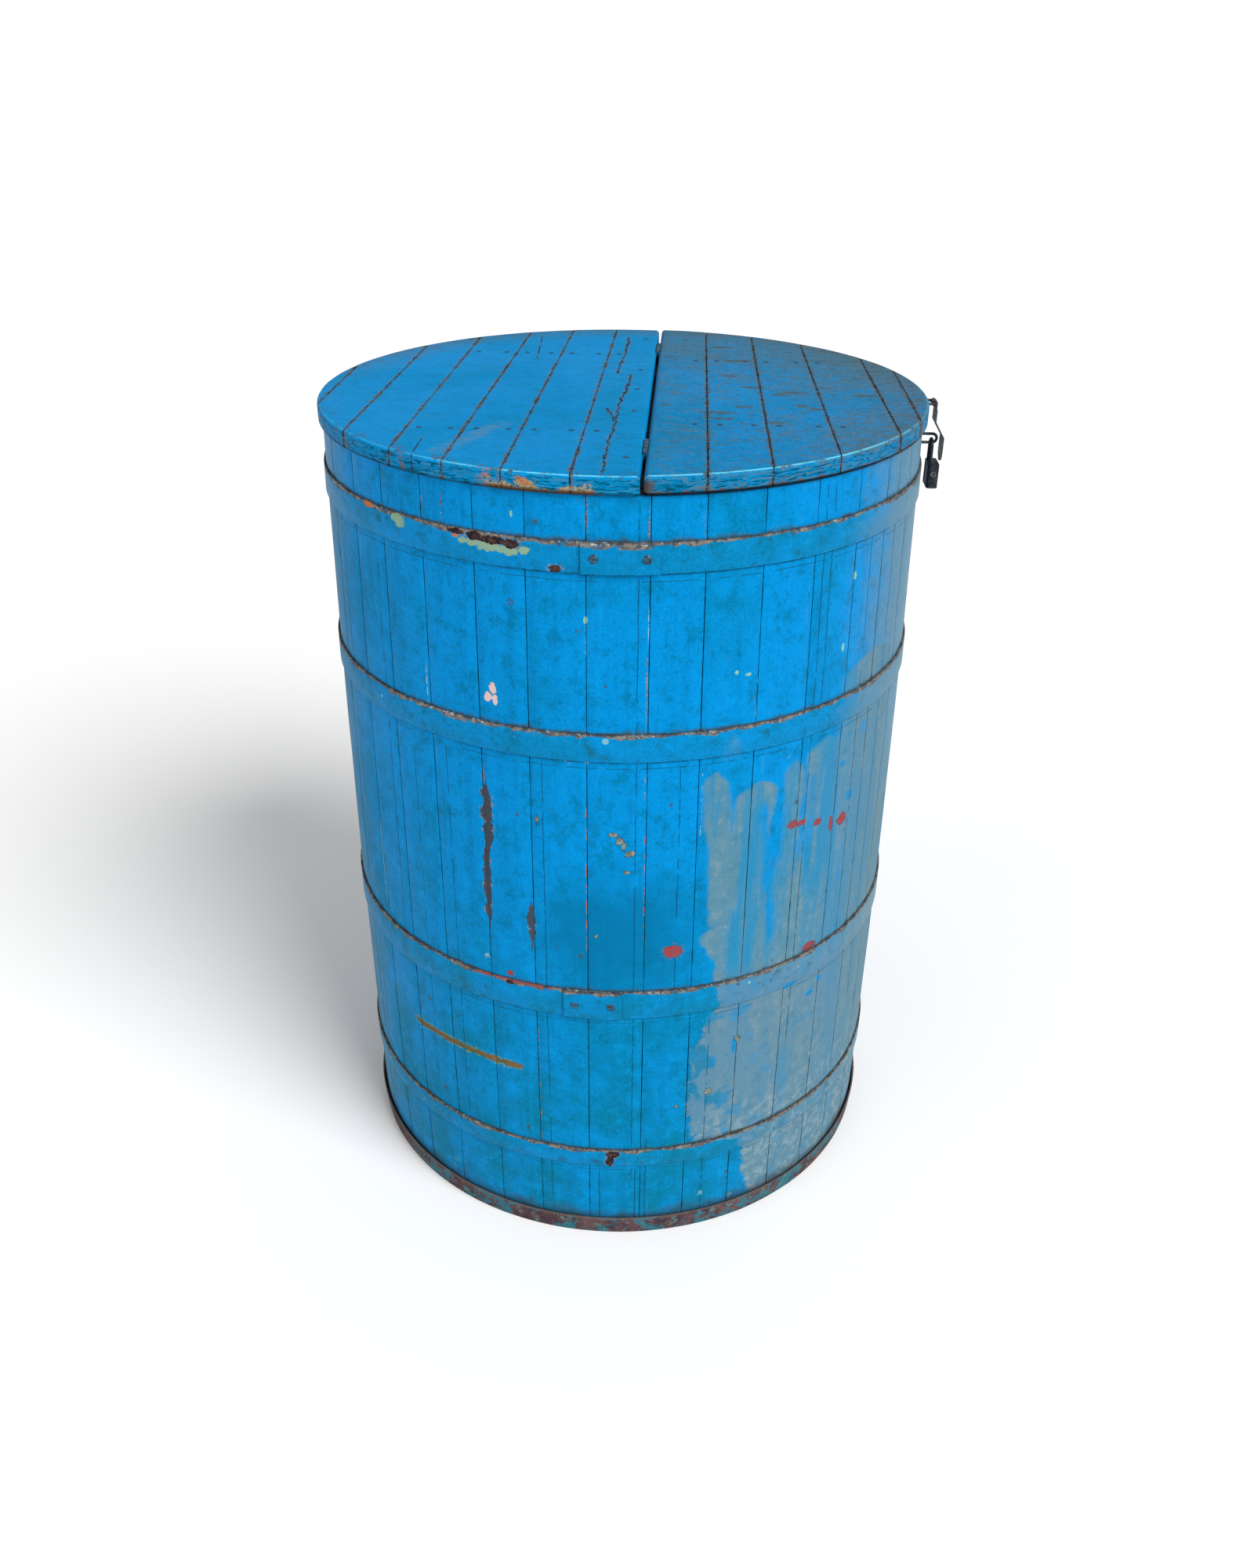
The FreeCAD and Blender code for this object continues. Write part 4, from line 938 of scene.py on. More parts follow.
# Cracks in the fixed part: y and x; worn marks on the flap: x, y and half length
LONG_CRACK = ((-0.419, -0.005), (-0.364, -0.005), (-0.261, -0.005), (-0.205, -0.002),
              (-0.155, -0.002), (-0.075, -0.001), (-0.017, 0.003), (0.039, 0.006), (0.098, 0.007))
BACK_CRACK = ((0.087, -0.014), (0.154, -0.012), (0.236, -0.008), (0.355, -0.009))
FORK_CRACK = ((-0.178, -0.003), (-0.147, -0.008), (-0.106, -0.017))
FLAP_MARKS = ((0.129, -0.124, 0.040), (0.166, -0.092, 0.018), (0.136, -0.155, 0.022),
              (0.217, -0.022, 0.020), (0.242, -0.081, 0.016), (0.258, -0.097, 0.016),
              (0.204, -0.170, 0.018), (0.140, 0.284, 0.028), (0.149, 0.090, 0.016),
              (0.234, -0.007, 0.030), (0.335, -0.017, 0.026), (0.180, 0.020, 0.030),
              (0.060, -0.090, 0.012), (0.165, 0.190, 0.040))


def lid_marks(f, x, y, noise, rows):
    """Short worn dashes across the boards: x, y and half length."""
    total = 0.0
    for at_x, at_y, half in rows:
        across = f.divide(f.minus(x, at_x), half * 0.7)
        along = f.divide(f.minus(y, at_y), 0.0075)
        away = f.distance(across, along)
        shaken = f.plus(away, f.shake(noise, 4.0))
        total = f.any_of(total, f.ramp(shaken, 1.02, 0.80))
    return total


def rubbed_top(f, color, place, flap, worn_share, grounds, fine, thin):
    """Top rubbed thin, more towards the back and the outer ends; gives the colour and the wear."""
    x, y, on_top, from_rim = grounds
    wide = f.noise(place, 7.0, 4.0, 0.6, 0.5)
    back = f.ramp(y, -0.10, 0.34)
    right = f.ramp(x, 0.16, 0.40)
    left = f.ramp(x, -0.26, -0.41)
    level = f.plus(f.plus(f.times(back, 0.10 if flap else 0.05), f.times(right, 0.08)),
                   f.plus(f.times(left, 0.08), worn_share))
    level = f.plus(level, f.shake(wide, 0.30))
    rubbed = f.times(f.ramp(f.plus(thin, level), 0.53, 0.70), on_top)
    veil = f.two_tone(fine, 0.42, 0.60, rgb(66, 124, 156), rgb(112, 132, 138))
    color = f.mix(f.times(rubbed, 0.85 if flap else 0.55), color, veil)
    scars = f.noise(f.stretch(place, 0.32, 1.0, 1.0), 78.0, 6.0, 0.74, 0.3)
    scar_mask = f.times(f.ramp(f.plus(scars, f.times(level, 0.5)), 0.655, 0.69),
                        f.ramp(fine, 0.42, 0.52), on_top)
    pores = f.noise(f.stretch(place, 0.45, 1.0, 1.0), 260.0, 5.0, 0.78)
    pores = f.times(f.ramp(pores, 0.54, 0.64), on_top)
    color = f.mix(f.times(pores, 0.48 if flap else 0.36), color, rgb(0, 84, 116))
    color = f.mix(f.times(scar_mask, 0.70), color,
                  f.two_tone(fine, 0.45, 0.6, rgb(44, 88, 98), rgb(96, 108, 100)))
    weathered = f.times(f.ramp(from_rim, 0.080, 0.004),
                        f.any_of(f.ramp(y, 0.02, 0.22), f.times(right, 0.8)),
                        f.ramp(thin, 0.40, 0.54), on_top)
    color = f.mix(f.times(weathered, 0.62), color,
                  f.two_tone(fine, 0.44, 0.58, rgb(80, 108, 118), rgb(112, 112, 104)))
    return color, f.any_of(rubbed, scar_mask)


def lid_rim(f, wall, color, place, z, top, flap, grounds, noises):
    """Painted highlight along the rim's edge, stronger at the front, and grain on its upright face; gives
    that face too.
    """
    on_top, from_rim = grounds[2:]
    fine, ragged, coarse = noises[:3]
    # painted highlight along the rounded edge of the rim, stronger on the front half
    front = f.times(f.ramp(wall["Angle"], -38.0, -20.0), f.ramp(wall["Angle"], 75.0, 40.0))
    arris_highlight = f.times(f.ramp(from_rim, 0.0046, 0.0032), f.ramp(from_rim, 0.0012, 0.0022), on_top,
                    f.ramp(coarse, 0.66, 0.50), f.plus(f.times(front, 0.8), 0.2))
    color = f.mix(f.times(arris_highlight, 0.95), color, rgb(120, 226, 255))
    face = f.times(f.ramp(from_rim, 0.0022, 0.0008), f.ramp(z, top - 0.002, top - 0.005))
    color = f.mix(f.times(face, 0.35), color, rgb(0, 132, 178))
    lines = f.noise(f.stretch(place, 0.6, 0.6, 5.0), 52.0, 4.0, 0.62, 2.2)
    color = f.mix(f.times(face, f.ramp(lines, 0.55, 0.60), 0.80 if flap else 0.30), color,
                  rgb(112, 116, 98))
    color = f.mix(f.times(face, f.ramp(lines, 0.48, 0.43), 0.80), color, rgb(4, 62, 84))
    inner_edge = f.times(f.ramp(from_rim, 0.034, 0.004), on_top, f.ramp(ragged, 0.52, 0.60),
                         f.ramp(coarse, 0.44, 0.56))
    color = f.mix(f.times(inner_edge, 0.75), color,
                  f.two_tone(fine, 0.45, 0.6, rgb(58, 70, 74), rgb(128, 116, 92)))
    return color, face, lines


def lid_joints(f, color, flap, noises):
    """Dirt in the joints of the lid and old coats beside it; gives the colour and the dirt."""
    fine, ragged, coarse = noises[:3]
    jagged = f.plus(f.times(ragged, 0.6), f.times(fine, 0.4))
    if flap:
        seam_width = f.ramp(coarse, 0.38, 0.62, 0.0009, 0.0026)
        light_dirt = rgb(124, 116, 104)
    else:
        seam_width = f.ramp(coarse, 0.40, 0.62, 0.0005, 0.0024)
        light_dirt = rgb(128, 116, 94)
    seam = f.use(seam_dirt, distance=f.measure("to_seam"), noise=jagged, width=seam_width, wear=1.0)
    beside = f.times(f.ramp(f.measure("to_seam"), 0.0062, 0.0020), f.ramp(ragged, 0.46, 0.56),
                     f.ramp(coarse, 0.40, 0.52, 0.35, 1.0))
    color = f.mix(f.times(beside, 0.8), color,
                  f.two_tone(fine, 0.45, 0.6, rgb(84, 92, 92), rgb(132, 122, 104)))
    dirt_color = f.two_tone(fine, 0.46, 0.58, rgb(28, 42, 50), light_dirt)
    return f.mix(f.times(seam["Dirt"], 0.90), color, dirt_color), seam["Dirt"]


def fixed_lid_marks(f, wall, color, place, z, top, grounds, noises):
    """Cracks, old coats at the front left and a pale scuff; gives the colour and the cracks."""
    x, y, on_top, from_rim = grounds
    fine, ragged, coarse, thin = noises
    split = f.any_of(*[drawn_crack(f, x, y, ragged, points, width) for points, width in
                       ((LONG_CRACK, 0.0010), (BACK_CRACK, 0.0011), (FORK_CRACK, 0.0008))])
    back_check = f.minus(-0.1435, f.times(f.minus(y, 0.25), 0.05))
    split = f.any_of(split, f.times(f.ramp(f.absolute(f.minus(x, back_check)), 0.0016, 0.0005),
                                    f.ramp(y, 0.17, 0.19), f.ramp(y, 0.36, 0.34), 1.2))
    split = f.any_of(split, f.times(f.ramp(f.absolute(f.plus(x, 0.2345)), 0.0014, 0.0004),
                                    f.ramp(y, -0.25, -0.29), 1.2))
    swell = f.ramp(coarse, 0.40, 0.62, 0.65, 1.6)
    checks = f.ramp(f.times(split, swell), 0.85, 1.15)
    halo = f.times(f.ramp(f.times(split, swell), 0.26, 0.45), f.ramp(fine, 0.48, 0.56))
    color = f.mix(f.times(halo, 0.8), color, rgb(122, 118, 106))
    color = f.mix(f.times(checks, 0.92), color, rgb(42, 40, 42))

    drop = f.minus(top, z)
    run = f.times(f.ramp(wall["Angle"], -22.0, -18.0), f.ramp(wall["Angle"], 0.5, -3.0))
    band = f.ramp(f.minus(drop, f.ramp(coarse, 0.38, 0.62, 0.020, 0.006)), -0.001, 0.001)
    spots = f.ramp(f.noise(place, 30.0, 6.0, 0.7, 0.5), 0.60, 0.63)
    far_run = f.times(f.ramp(wall["Angle"], -66.0, -50.0), f.ramp(wall["Angle"], -12.0, -20.0),
                      f.ramp(fine, 0.42, 0.50), 0.9)
    chipped = f.times(f.ramp(from_rim, 0.004, 0.0015),
                      f.any_of(f.times(run, band), f.times(far_run, spots)))
    coats = f.two_tone(ragged, 0.44, 0.52, rgb(128, 150, 118), rgb(186, 164, 132))
    orange_share = f.times(f.ramp(coarse, 0.54, 0.60), f.ramp(drop, 0.017, 0.014))
    coats = f.mix(orange_share, coats, rgb(200, 132, 92))
    coats = f.mix(f.ramp(drop, 0.0165, 0.019), coats, rgb(122, 92, 66))
    coats = f.mix(f.ramp(wall["Angle"], -24.0, -30.0, 0.0, 0.7), coats, rgb(112, 96, 78))
    coats = f.mix(f.ramp(fine, 0.54, 0.60, 0.0, 0.8), coats, rgb(66, 58, 54))
    color = f.mix(chipped, color, coats)

    scuff = f.ramp(f.absolute(f.minus(x, f.plus(-0.055, f.times(y, 0.46)))), 0.020, 0.006)
    scuff = f.times(scuff, f.ramp(y, -0.345, -0.320), f.ramp(y, -0.175, -0.215),
                    f.ramp(thin, 0.44, 0.56))
    return f.mix(f.times(scuff, on_top, 0.62), color, rgb(112, 150, 168)), checks


def flap_marks(f, color, z, top, face, grounds, fine, ragged, thin):
    """Worn dashes, the bare front corner and the bare lower edge of the flap."""
    x, y, on_top = grounds[:3]
    torn = f.plus(f.times(thin, 0.55), f.times(ragged, 0.45))
    marks = f.times(lid_marks(f, x, y, torn, FLAP_MARKS), f.ramp(fine, 0.40, 0.48), on_top)
    color = f.mix(f.times(marks, 0.80), color,
                  f.two_tone(fine, 0.45, 0.6, rgb(70, 82, 60), rgb(112, 104, 76)))
    corner = f.times(f.ramp(x, SPLIT_RIGHT + 0.017, SPLIT_RIGHT + 0.006), f.ramp(y, -0.385, -0.400),
                     f.ramp(z, top - 0.001, top - 0.010), f.ramp(ragged, 0.36, 0.48))
    color = f.mix(f.times(corner, 0.85), color, rgb(96, 78, 66))
    low_edge = f.times(f.ramp(z, top - 0.016, top - 0.019), f.ramp(ragged, 0.50, 0.58))
    return f.mix(f.times(low_edge, face, 0.8), color, rgb(116, 86, 64))


def lid_paint(name, worn_share, top):
    """Painted planks; worn_share adds to how much of the top is rubbed down to a grey veil."""
    material, f, shader, place = new_material(name, Specular_IOR_Level=0.012)
    wall = f.use(round_the_wall, place=place)
    x, y, z = f.apart(place)
    flap = name == "flap_paint"
    across = f.stretch(place, 0.22, 1.0, 1.0)
    fine = f.noise(place, 260.0, 4.0, 0.65, 0.2)
    ragged = f.noise(place, 105.0, 6.0, 0.70, 0.3)
    coarse = f.noise(place, 30.0, 6.0, 0.68, 0.5)
    thin = f.noise(f.stretch(place, 0.42, 1.0, 1.0), 150.0, 7.0, 0.80, 0.3)
    noises = (fine, ragged, coarse, thin)
    paint = f.use(old_blue, place=place, brushed=across, tone=f.measure("tone"), green=0.10)
    color = f.mix(0.18 if flap else 0.36, paint["Color"], rgb(0, 170, 246))
    on_top = f.ramp(z, top - 0.006, top - 0.0035)
    from_rim = f.minus(LID_RADIUS, wall["Radius"])
    grounds = (x, y, on_top, from_rim)

    color, wear = rubbed_top(f, color, place, flap, worn_share, grounds, fine, thin)
    color, face, lines = lid_rim(f, wall, color, place, z, top, flap, grounds, noises)
    color, dark = lid_joints(f, color, flap, noises)
    if flap:
        color = flap_marks(f, color, z, top, face, grounds, fine, ragged, thin)
    else:
        color, checks = fixed_lid_marks(f, wall, color, place, z, top, grounds, noises)
        dark = f.any_of(dark, checks)
    # painted shade on the lower edge of the rim, darkest on the overhanging flap
    under_rim_shade = f.times(f.ramp(from_rim, 0.0030, 0.0010), f.ramp(z, top - 0.0190, top - 0.0208))
    color = f.mix(f.times(under_rim_shade, 0.92 if flap else 0.6), color, rgb(14, 22, 28))

    # underneath and inside, the wood is bare
    wood = f.use(old_wood, along=f.stretch(place, 1.0, 0.07, 1.0))
    inner = f.times(f.ramp(z, top - 0.0205, top - 0.0225), f.ramp(from_rim, 0.003, 0.006))
    f.feed(shader["Base Color"], f.mix(inner, color, wood["Color"]))
    f.feed(shader["Roughness"], f.plus(f.ramp(paint["Cloud"], 0.35, 0.7, 0.40, 0.52), f.times(wear, 0.26)))
    height = f.plus(f.times(thin, 0.50), f.times(ragged, 0.3))
    height = f.plus(height, f.times(dark, -1.6))
    height = f.plus(height, f.times(face, f.times(lines, 1.3)))
    relief(f, shader, height, 0.0013, 0.8)
    return material


def bare_wood():
    material, f, shader, place = new_material("bare_wood", Specular_IOR_Level=0.25)
    wood = f.use(old_wood, along=f.stretch(place, 0.9, 0.08, 0.9))
    stain = f.ramp(f.noise(place, 12.0, 5.0, 0.6), 0.45, 0.7)
    f.feed(shader["Base Color"], f.mix(f.times(stain, 0.5), wood["Color"], rgb(70, 58, 48)))
    f.feed(shader["Roughness"], f.ramp(wood["Grain"], 0.3, 0.7, 0.7, 0.9))
    relief(f, shader, wood["Grain"], 0.0008)
    return material


def cross_wood():
    """The same bare wood for battens, whose grain runs along X."""
    material, f, shader, place = new_material("cross_wood", Specular_IOR_Level=0.25)
    wood = f.use(old_wood, along=f.stretch(place, 0.08, 0.9, 0.9))
    f.feed(shader["Base Color"], wood["Color"])
    f.feed(shader["Roughness"], f.ramp(wood["Grain"], 0.3, 0.7, 0.7, 0.9))
    relief(f, shader, wood["Grain"], 0.0008)
    return material


def painted_iron():
    material, f, shader, place = new_material("painted_iron", Specular_IOR_Level=0.3)
    paint = f.use(old_blue, place=place, brushed=place, tone=0.8, green=1.0)
    worn = f.noise(place, 260.0, 4.0, 0.65)
    color = f.mix(f.ramp(worn, 0.42, 0.56), f.mix(0.4, paint["Color"], rgb(0, 66, 96)), rgb(44, 52, 58))
    f.feed(shader["Base Color"], color)
    f.feed(shader["Roughness"], f.ramp(worn, 0.4, 0.7, 0.4, 0.75))
    relief(f, shader, worn, 0.0006)
    return material


def dark_iron(name, dark, light, rust_share, metal, gloss):
    material, f, shader, place = new_material(name, Metallic=metal, Specular_IOR_Level=0.4)
    coarse = f.noise(place, 90.0, 5.0, 0.65, 0.3)
    fine = f.noise(place, 420.0, 4.0, 0.6)
    color = f.mix(f.ramp(coarse, 0.35, 0.68), dark, light)
    rust = f.ramp(f.plus(coarse, f.times(fine, 0.3)), 0.86 - rust_share, 0.96 - rust_share)
    color = f.mix(f.times(rust, 0.8), color, rgb(104, 70, 52))
    f.feed(shader["Base Color"], color)
    f.feed(shader["Roughness"], f.plus(f.ramp(fine, 0.3, 0.7, gloss, gloss + 0.18), f.times(rust, 0.2)))
    relief(f, shader, f.plus(f.times(coarse, 0.6), f.times(fine, 0.4)), 0.0005)
    return material


materials = {
    "painted_hoops": hoop_paint(),
    "rusty_hoop": foot_hoop_rust(),
    "painted_lid": lid_paint("fixed_lid_paint", -0.09, LID_TOP),
    "worn_painted_lid": lid_paint("flap_paint", 0.06, FLAP_TOP),
    "bare_wood": bare_wood(),
    "painted_iron": painted_iron(),
    "nail_iron": dark_iron("nail_iron", rgb(10, 72, 102), rgb(36, 92, 120), 0.14, 0.1, 0.6),
    "forged_iron": dark_iron("forged_iron", rgb(56, 60, 64), rgb(104, 108, 110), 0.10, 0.7, 0.42),
    "lock_iron": dark_iron("lock_iron", rgb(26, 32, 40), rgb(62, 70, 80), 0.04, 0.6, 0.42),
    "lock_plug": dark_iron("lock_plug", rgb(58, 60, 62), rgb(126, 128, 128), 0.02, 0.8, 0.35),
}
slots = {row["node"]: row["material_slot"] for row in frame["record"]["subparts"]}
battens = cross_wood()
stave_paints = [stave_paint(section) for section in range(STAVE_COUNT // (2 * SECTION_PAIRS))]


# ------------------------------------------------------------------ staves
def stave_section():
    """The upright slice of the wall at the front, bellied, ready to be spun round."""
    fresh()
    bpy.ops.mesh.primitive_plane_add(size=1.0, location=(0, STAVE_THICKNESS / 2 - BELLY, WALL_HEIGHT / 2),
                                     rotation=(0, math.radians(90), 0))
    piece = bpy.context.object
    piece.name = "stave_section"
    piece.scale = (WALL_HEIGHT - 2 * WAVE_ROOM, STAVE_THICKNESS, 1)
    fix_place(piece)
    begin_edit(piece)
    choose(piece, "EDGE", lambda e: abs(e.verts[0].co.z - e.verts[1].co.z) > 0.5)
    bpy.ops.mesh.subdivide(number_cuts=STAVE_CUTS)
    levels = sorted({round(v.co.z, 4) for v in bmesh.from_edit_mesh(piece.data).verts})
    for level in levels:
        choose(piece, "VERT", lambda v: abs(v.co.z - level) < 0.0005)
        bpy.ops.transform.translate(value=(0, BELLY - wall_radius(level), 0))
    end_edit()
    return piece


def make_stave(section, start, span):
    piece = section.copy()
    piece.data = section.data.copy()
    bpy.context.collection.objects.link(piece)
    begin_edit(piece)
    bpy.ops.mesh.spin(steps=5, angle=math.radians(span), center=(0, 0, 0), axis=(0, 0, -1))
    turn_normals_out()

    def long_edge(edge):
        a, b = edge.verts[0].co, edge.verts[1].co
        angle, radius = polar((a + b) / 2)
        at_side = min(abs(angle), abs(angle - span)) < 0.05
        return at_side and abs(a.z - b.z) > 0.005 and radius > wall_radius((a.z + b.z) / 2) - 0.001

    bevel_edges(piece, long_edge, STAVE_EDGE, 2)
    end_edit()
    remember(piece, "to_seam", lambda co: min(max(polar(co)[0], 0), max(span - polar(co)[0], 0))
             * math.radians(1) * BELLY)
    tone = chance.random()
    remember(piece, "tone", lambda co: tone)
    piece.rotation_euler = (0, 0, math.radians(start))
    fix_place(piece)
    roughen(piece, *STAVE_WAVES)
    return piece


def seam_angle(index):
    return FIRST_SEAM + index * 360 / STAVE_COUNT + SEAM_WANDER[index % len(SEAM_WANDER)]


def build_staves():
    section = stave_section()
    gap = math.degrees(STAVE_GAP / BELLY)
    for first in range(0, STAVE_COUNT, 2):
        pair = []
        for index in (first, first + 1):
            start = seam_angle(index) + gap / 2
            pair.append(make_stave(section, start, seam_angle(index + 1) - gap / 2 - start))
        number = first // 2 + 1
        piece = join(pair, "staves_%02d" % number)
        smooth(piece)
        finish_piece(piece, "vat", "painted_staves", stave_paints[(number - 1) // SECTION_PAIRS],
                     ["stave_pair_%02d" % number])
    bpy.data.objects.remove(section)


# ------------------------------------------------------------------ hoops
def iron_section(low, high, lift, flare):
    """The rounded section of a flat iron, standing at the front against the wall."""
    fresh()
    middle = (low + high) / 2
    bpy.ops.mesh.primitive_plane_add(size=1.0, location=(0, 0, middle), rotation=(0, math.radians(90), 0))
    piece = bpy.context.object
    piece.scale = (high - low, HOOP_THICKNESS, 1)
    fix_place(piece)
    begin_edit(piece)
    bpy.ops.mesh.bevel(offset=HOOP_EDGE, segments=2, affect="VERTICES")
    for level in sorted({round(v.co.z, 5) for v in bmesh.from_edit_mesh(piece.data).verts}):
        choose(piece, "VERT", lambda v: abs(v.co.z - level) < 0.00002)
        flared = flare * max(0.0, (level - low) / (high - low))
        out = wall_radius(level) + HOOP_ROOM + HOOP_THICKNESS / 2 + lift + flared
        bpy.ops.transform.translate(value=(0, -out, 0))
    return piece


def build_hoop(name):
    low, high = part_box(name)[0][2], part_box(name)[1][2]
    flare = FOOT_FLARE if name == "hoop_foot" else 0.0
    lap_from, lap_to = HOOP_LAPS[name]
    ring = iron_section(low, high, 0.0, flare)
    bpy.ops.mesh.select_all(action="SELECT")
    bpy.ops.mesh.delete(type="ONLY_FACE")
    bpy.ops.mesh.select_all(action="SELECT")
    bpy.ops.mesh.spin(steps=180, angle=math.radians(360), center=(0, 0, 0), axis=(0, 0, -1))
    turn_normals_out()
    end_edit()
    lap = iron_section(low, high, HOOP_THICKNESS, flare)
    bpy.ops.mesh.select_all(action="SELECT")
    bpy.ops.mesh.spin(steps=8, angle=math.radians(lap_to - lap_from), center=(0, 0, 0), axis=(0, 0, -1))
    turn_normals_out()
    end_edit()
    lap.rotation_euler = (0, 0, math.radians(lap_from))
    fix_place(lap)
    piece = join([ring, lap], name + "_iron")
    remember(piece, "from_top", lambda co: max(high - co.z, 0))
    remember(piece, "from_bottom", lambda co: max(co.z - low, 0))
    roughen(piece, *HOOP_WAVES)
    smooth(piece)
    slot = slots[name]
    finish_piece(piece, "vat", slot, materials[slot], [name])


# ------------------------------------------------------------------ lid boards
def lid_disc(bottom, top):
    """The whole round lid, its rim eased, from which each board is cut."""
    fresh()
    bpy.ops.mesh.primitive_cylinder_add(vertices=256, radius=LID_RADIUS, depth=top - bottom,
                                        location=(0, 0, (bottom + top) / 2))
    piece = fix_place(bpy.context.object)
    begin_edit(piece)
    bevel_edges(piece, lambda e: min(v.co.z for v in e.verts) > top - 0.0001, RIM_ROUND, 4)
    bevel_edges(piece, lambda e: max(v.co.z for v in e.verts) < bottom + 0.0001, UNDER_ROUND, 2)
    end_edit()
    return piece


def round_split(seam, sign, top):
    """Rounds a board's upper edge along the split by flat cuts that all touch the round."""
    for degrees in (9, 25, 45, 65, 81):
        aside, up = math.cos(math.radians(degrees)), math.sin(math.radians(degrees))
        x = seam[0] + sign * (CUT_ROOM + SPLIT_ROUND * (1 - aside))
        cut((x, 0, top - SPLIT_ROUND * (1 - up)), (-sign * aside, 0, up), "behind")


def round_flap_corner(bottom):
    """Rounds the flap's front corner at the split, as seen from the front and from above."""
    front = -math.sqrt(LID_RADIUS ** 2 - SPLIT_RIGHT ** 2)
    for degrees in (15, 35, 55, 75):
        side, down = math.cos(math.radians(degrees)), math.sin(math.radians(degrees))
        low_point = (SPLIT_RIGHT + LOW_ROUND * (1 - side), front, bottom + LOW_ROUND * (1 - down))
        cut(low_point, (-side, -0.25, -down), "behind")
        plan_point = (SPLIT_RIGHT + PLAN_ROUND * (1 - side), front + PLAN_ROUND * (1 - down), bottom)
        cut(plan_point, (-side, -down, 0), "behind")


def make_board(disc, left, right, bottom, top):
    """One board between two seams, its upper edges eased, and well rounded along the split."""
    piece = disc.copy()
    piece.data = disc.data.copy()
    bpy.context.collection.objects.link(piece)
    begin_edit(piece)
    joints = []
    for seam, sign in ((left, 1), (right, -1)):
        lean = seam[1] / (2 * LID_RADIUS)
        normal = Vector((1, lean, 0)).normalized()
        point = Vector((seam[0] + sign * CUT_ROOM, 0, 0))
        if abs(seam[0]) < LID_RADIUS:
            cut(point, normal, "front" if sign > 0 else "behind")
        if seam[0] in (SPLIT_LEFT, SPLIT_RIGHT):
            round_split(seam, sign, top)
        elif abs(seam[0]) < LID_RADIUS:
            joints.append((point, normal))
    for point, normal in joints:
        bevel_edges(piece, lambda e: all(abs((v.co - point).dot(normal)) < 0.00002
                                         and v.co.z > top - 0.0046 for v in e.verts), JOINT_EASE, 2)
    if left[0] == SPLIT_RIGHT:
        round_flap_corner(bottom)
    for step in range(-12, 13):
        cut((0, step * CROSS_CUT, 0), (0, 1, 0))
    for share in (0.07, 0.28, 0.5, 0.72, 0.93):
        x = left[0] + (right[0] - left[0]) * share
        lean = (left[1] * (1 - share) + right[1] * share) / (2 * LID_RADIUS)
        cut((x, 0, 0), (1, lean, 0))
    turn_normals_out()
    end_edit()
    remember(piece, "to_seam", lambda co: min([abs((co - point).dot(normal))
                                               for point, normal in joints] or [0.1]))
    tone = chance.random()
    remember(piece, "tone", lambda co: tone)
    return piece


def hinge_pocket(piece):
    """Room for the barrels of the two hinges along the split."""
    split_middle = (SPLIT_LEFT + SPLIT_RIGHT) / 2
    barrel_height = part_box("hinge_pins")[1][2] - 0.002
    tools = []
    for y in (-HINGE_Y, HINGE_Y):
        fresh()
        bpy.ops.mesh.primitive_cylinder_add(vertices=24, radius=POCKET_RADIUS, depth=HINGE_LENGTH,
                                            location=(split_middle, y, barrel_height),
                                            rotation=(math.radians(90), 0, 0))
        tools.append(fix_place(bpy.context.object))
    tool = join(tools, "pocket_tool")
    apply_modifier(piece, "BOOLEAN", object=tool, operation="DIFFERENCE", solver="EXACT")
    bpy.data.objects.remove(tool)


def build_lid():
    outer = LID_RADIUS + 0.01
    fixed_seams = ((-outer, 0.0),) + FIXED_SEAMS + ((SPLIT_LEFT, 0.0),)
    flap_seams = ((SPLIT_RIGHT, 0.0),) + FLAP_SEAMS + ((outer, 0.0),)
    parts = (("lid_fixed_board", fixed_seams, LID_BOTTOM, LID_TOP, "vat"),
             ("lid_flap_board", flap_seams, FLAP_BOTTOM, FLAP_TOP, "lid_flap"))
    for name, seams, bottom, top, body in parts:
        disc = lid_disc(bottom, top - WAVE_ROOM)
        for number, (left, right) in enumerate(zip(seams, seams[1:]), 1):
            piece = make_board(disc, left, right, bottom, top - WAVE_ROOM)
            node = "%s_%d" % (name, number)
            piece.name = node + "_wood"
            if SPLIT_LEFT in (left[0], right[0]) or SPLIT_RIGHT in (left[0], right[0]):
                hinge_pocket(piece)
            roughen(piece, *BOARD_WAVES)
            smooth(piece)
            finish_piece(piece, body, slots[node], materials[slots[node]], [node])
        bpy.data.objects.remove(disc)


# ------------------------------------------------------------------ padlock body
LOCK_CORNER = 0.004
LOCK_EDGE = 0.0009
PANEL_BORDER = 0.003
PANEL_DEPTH = 0.0006
BORE_ROOM = 0.0002
BORE_OVERRUN = 0.005
LONG_LEG_BORE = 0.0224
SHORT_LEG_BORE = 0.0084
COLLAR_OUT = 0.0012
COLLAR_ROUND = 0.0009
RIVET_INSET = 0.0065
RIVET_RADIUS = 0.0018


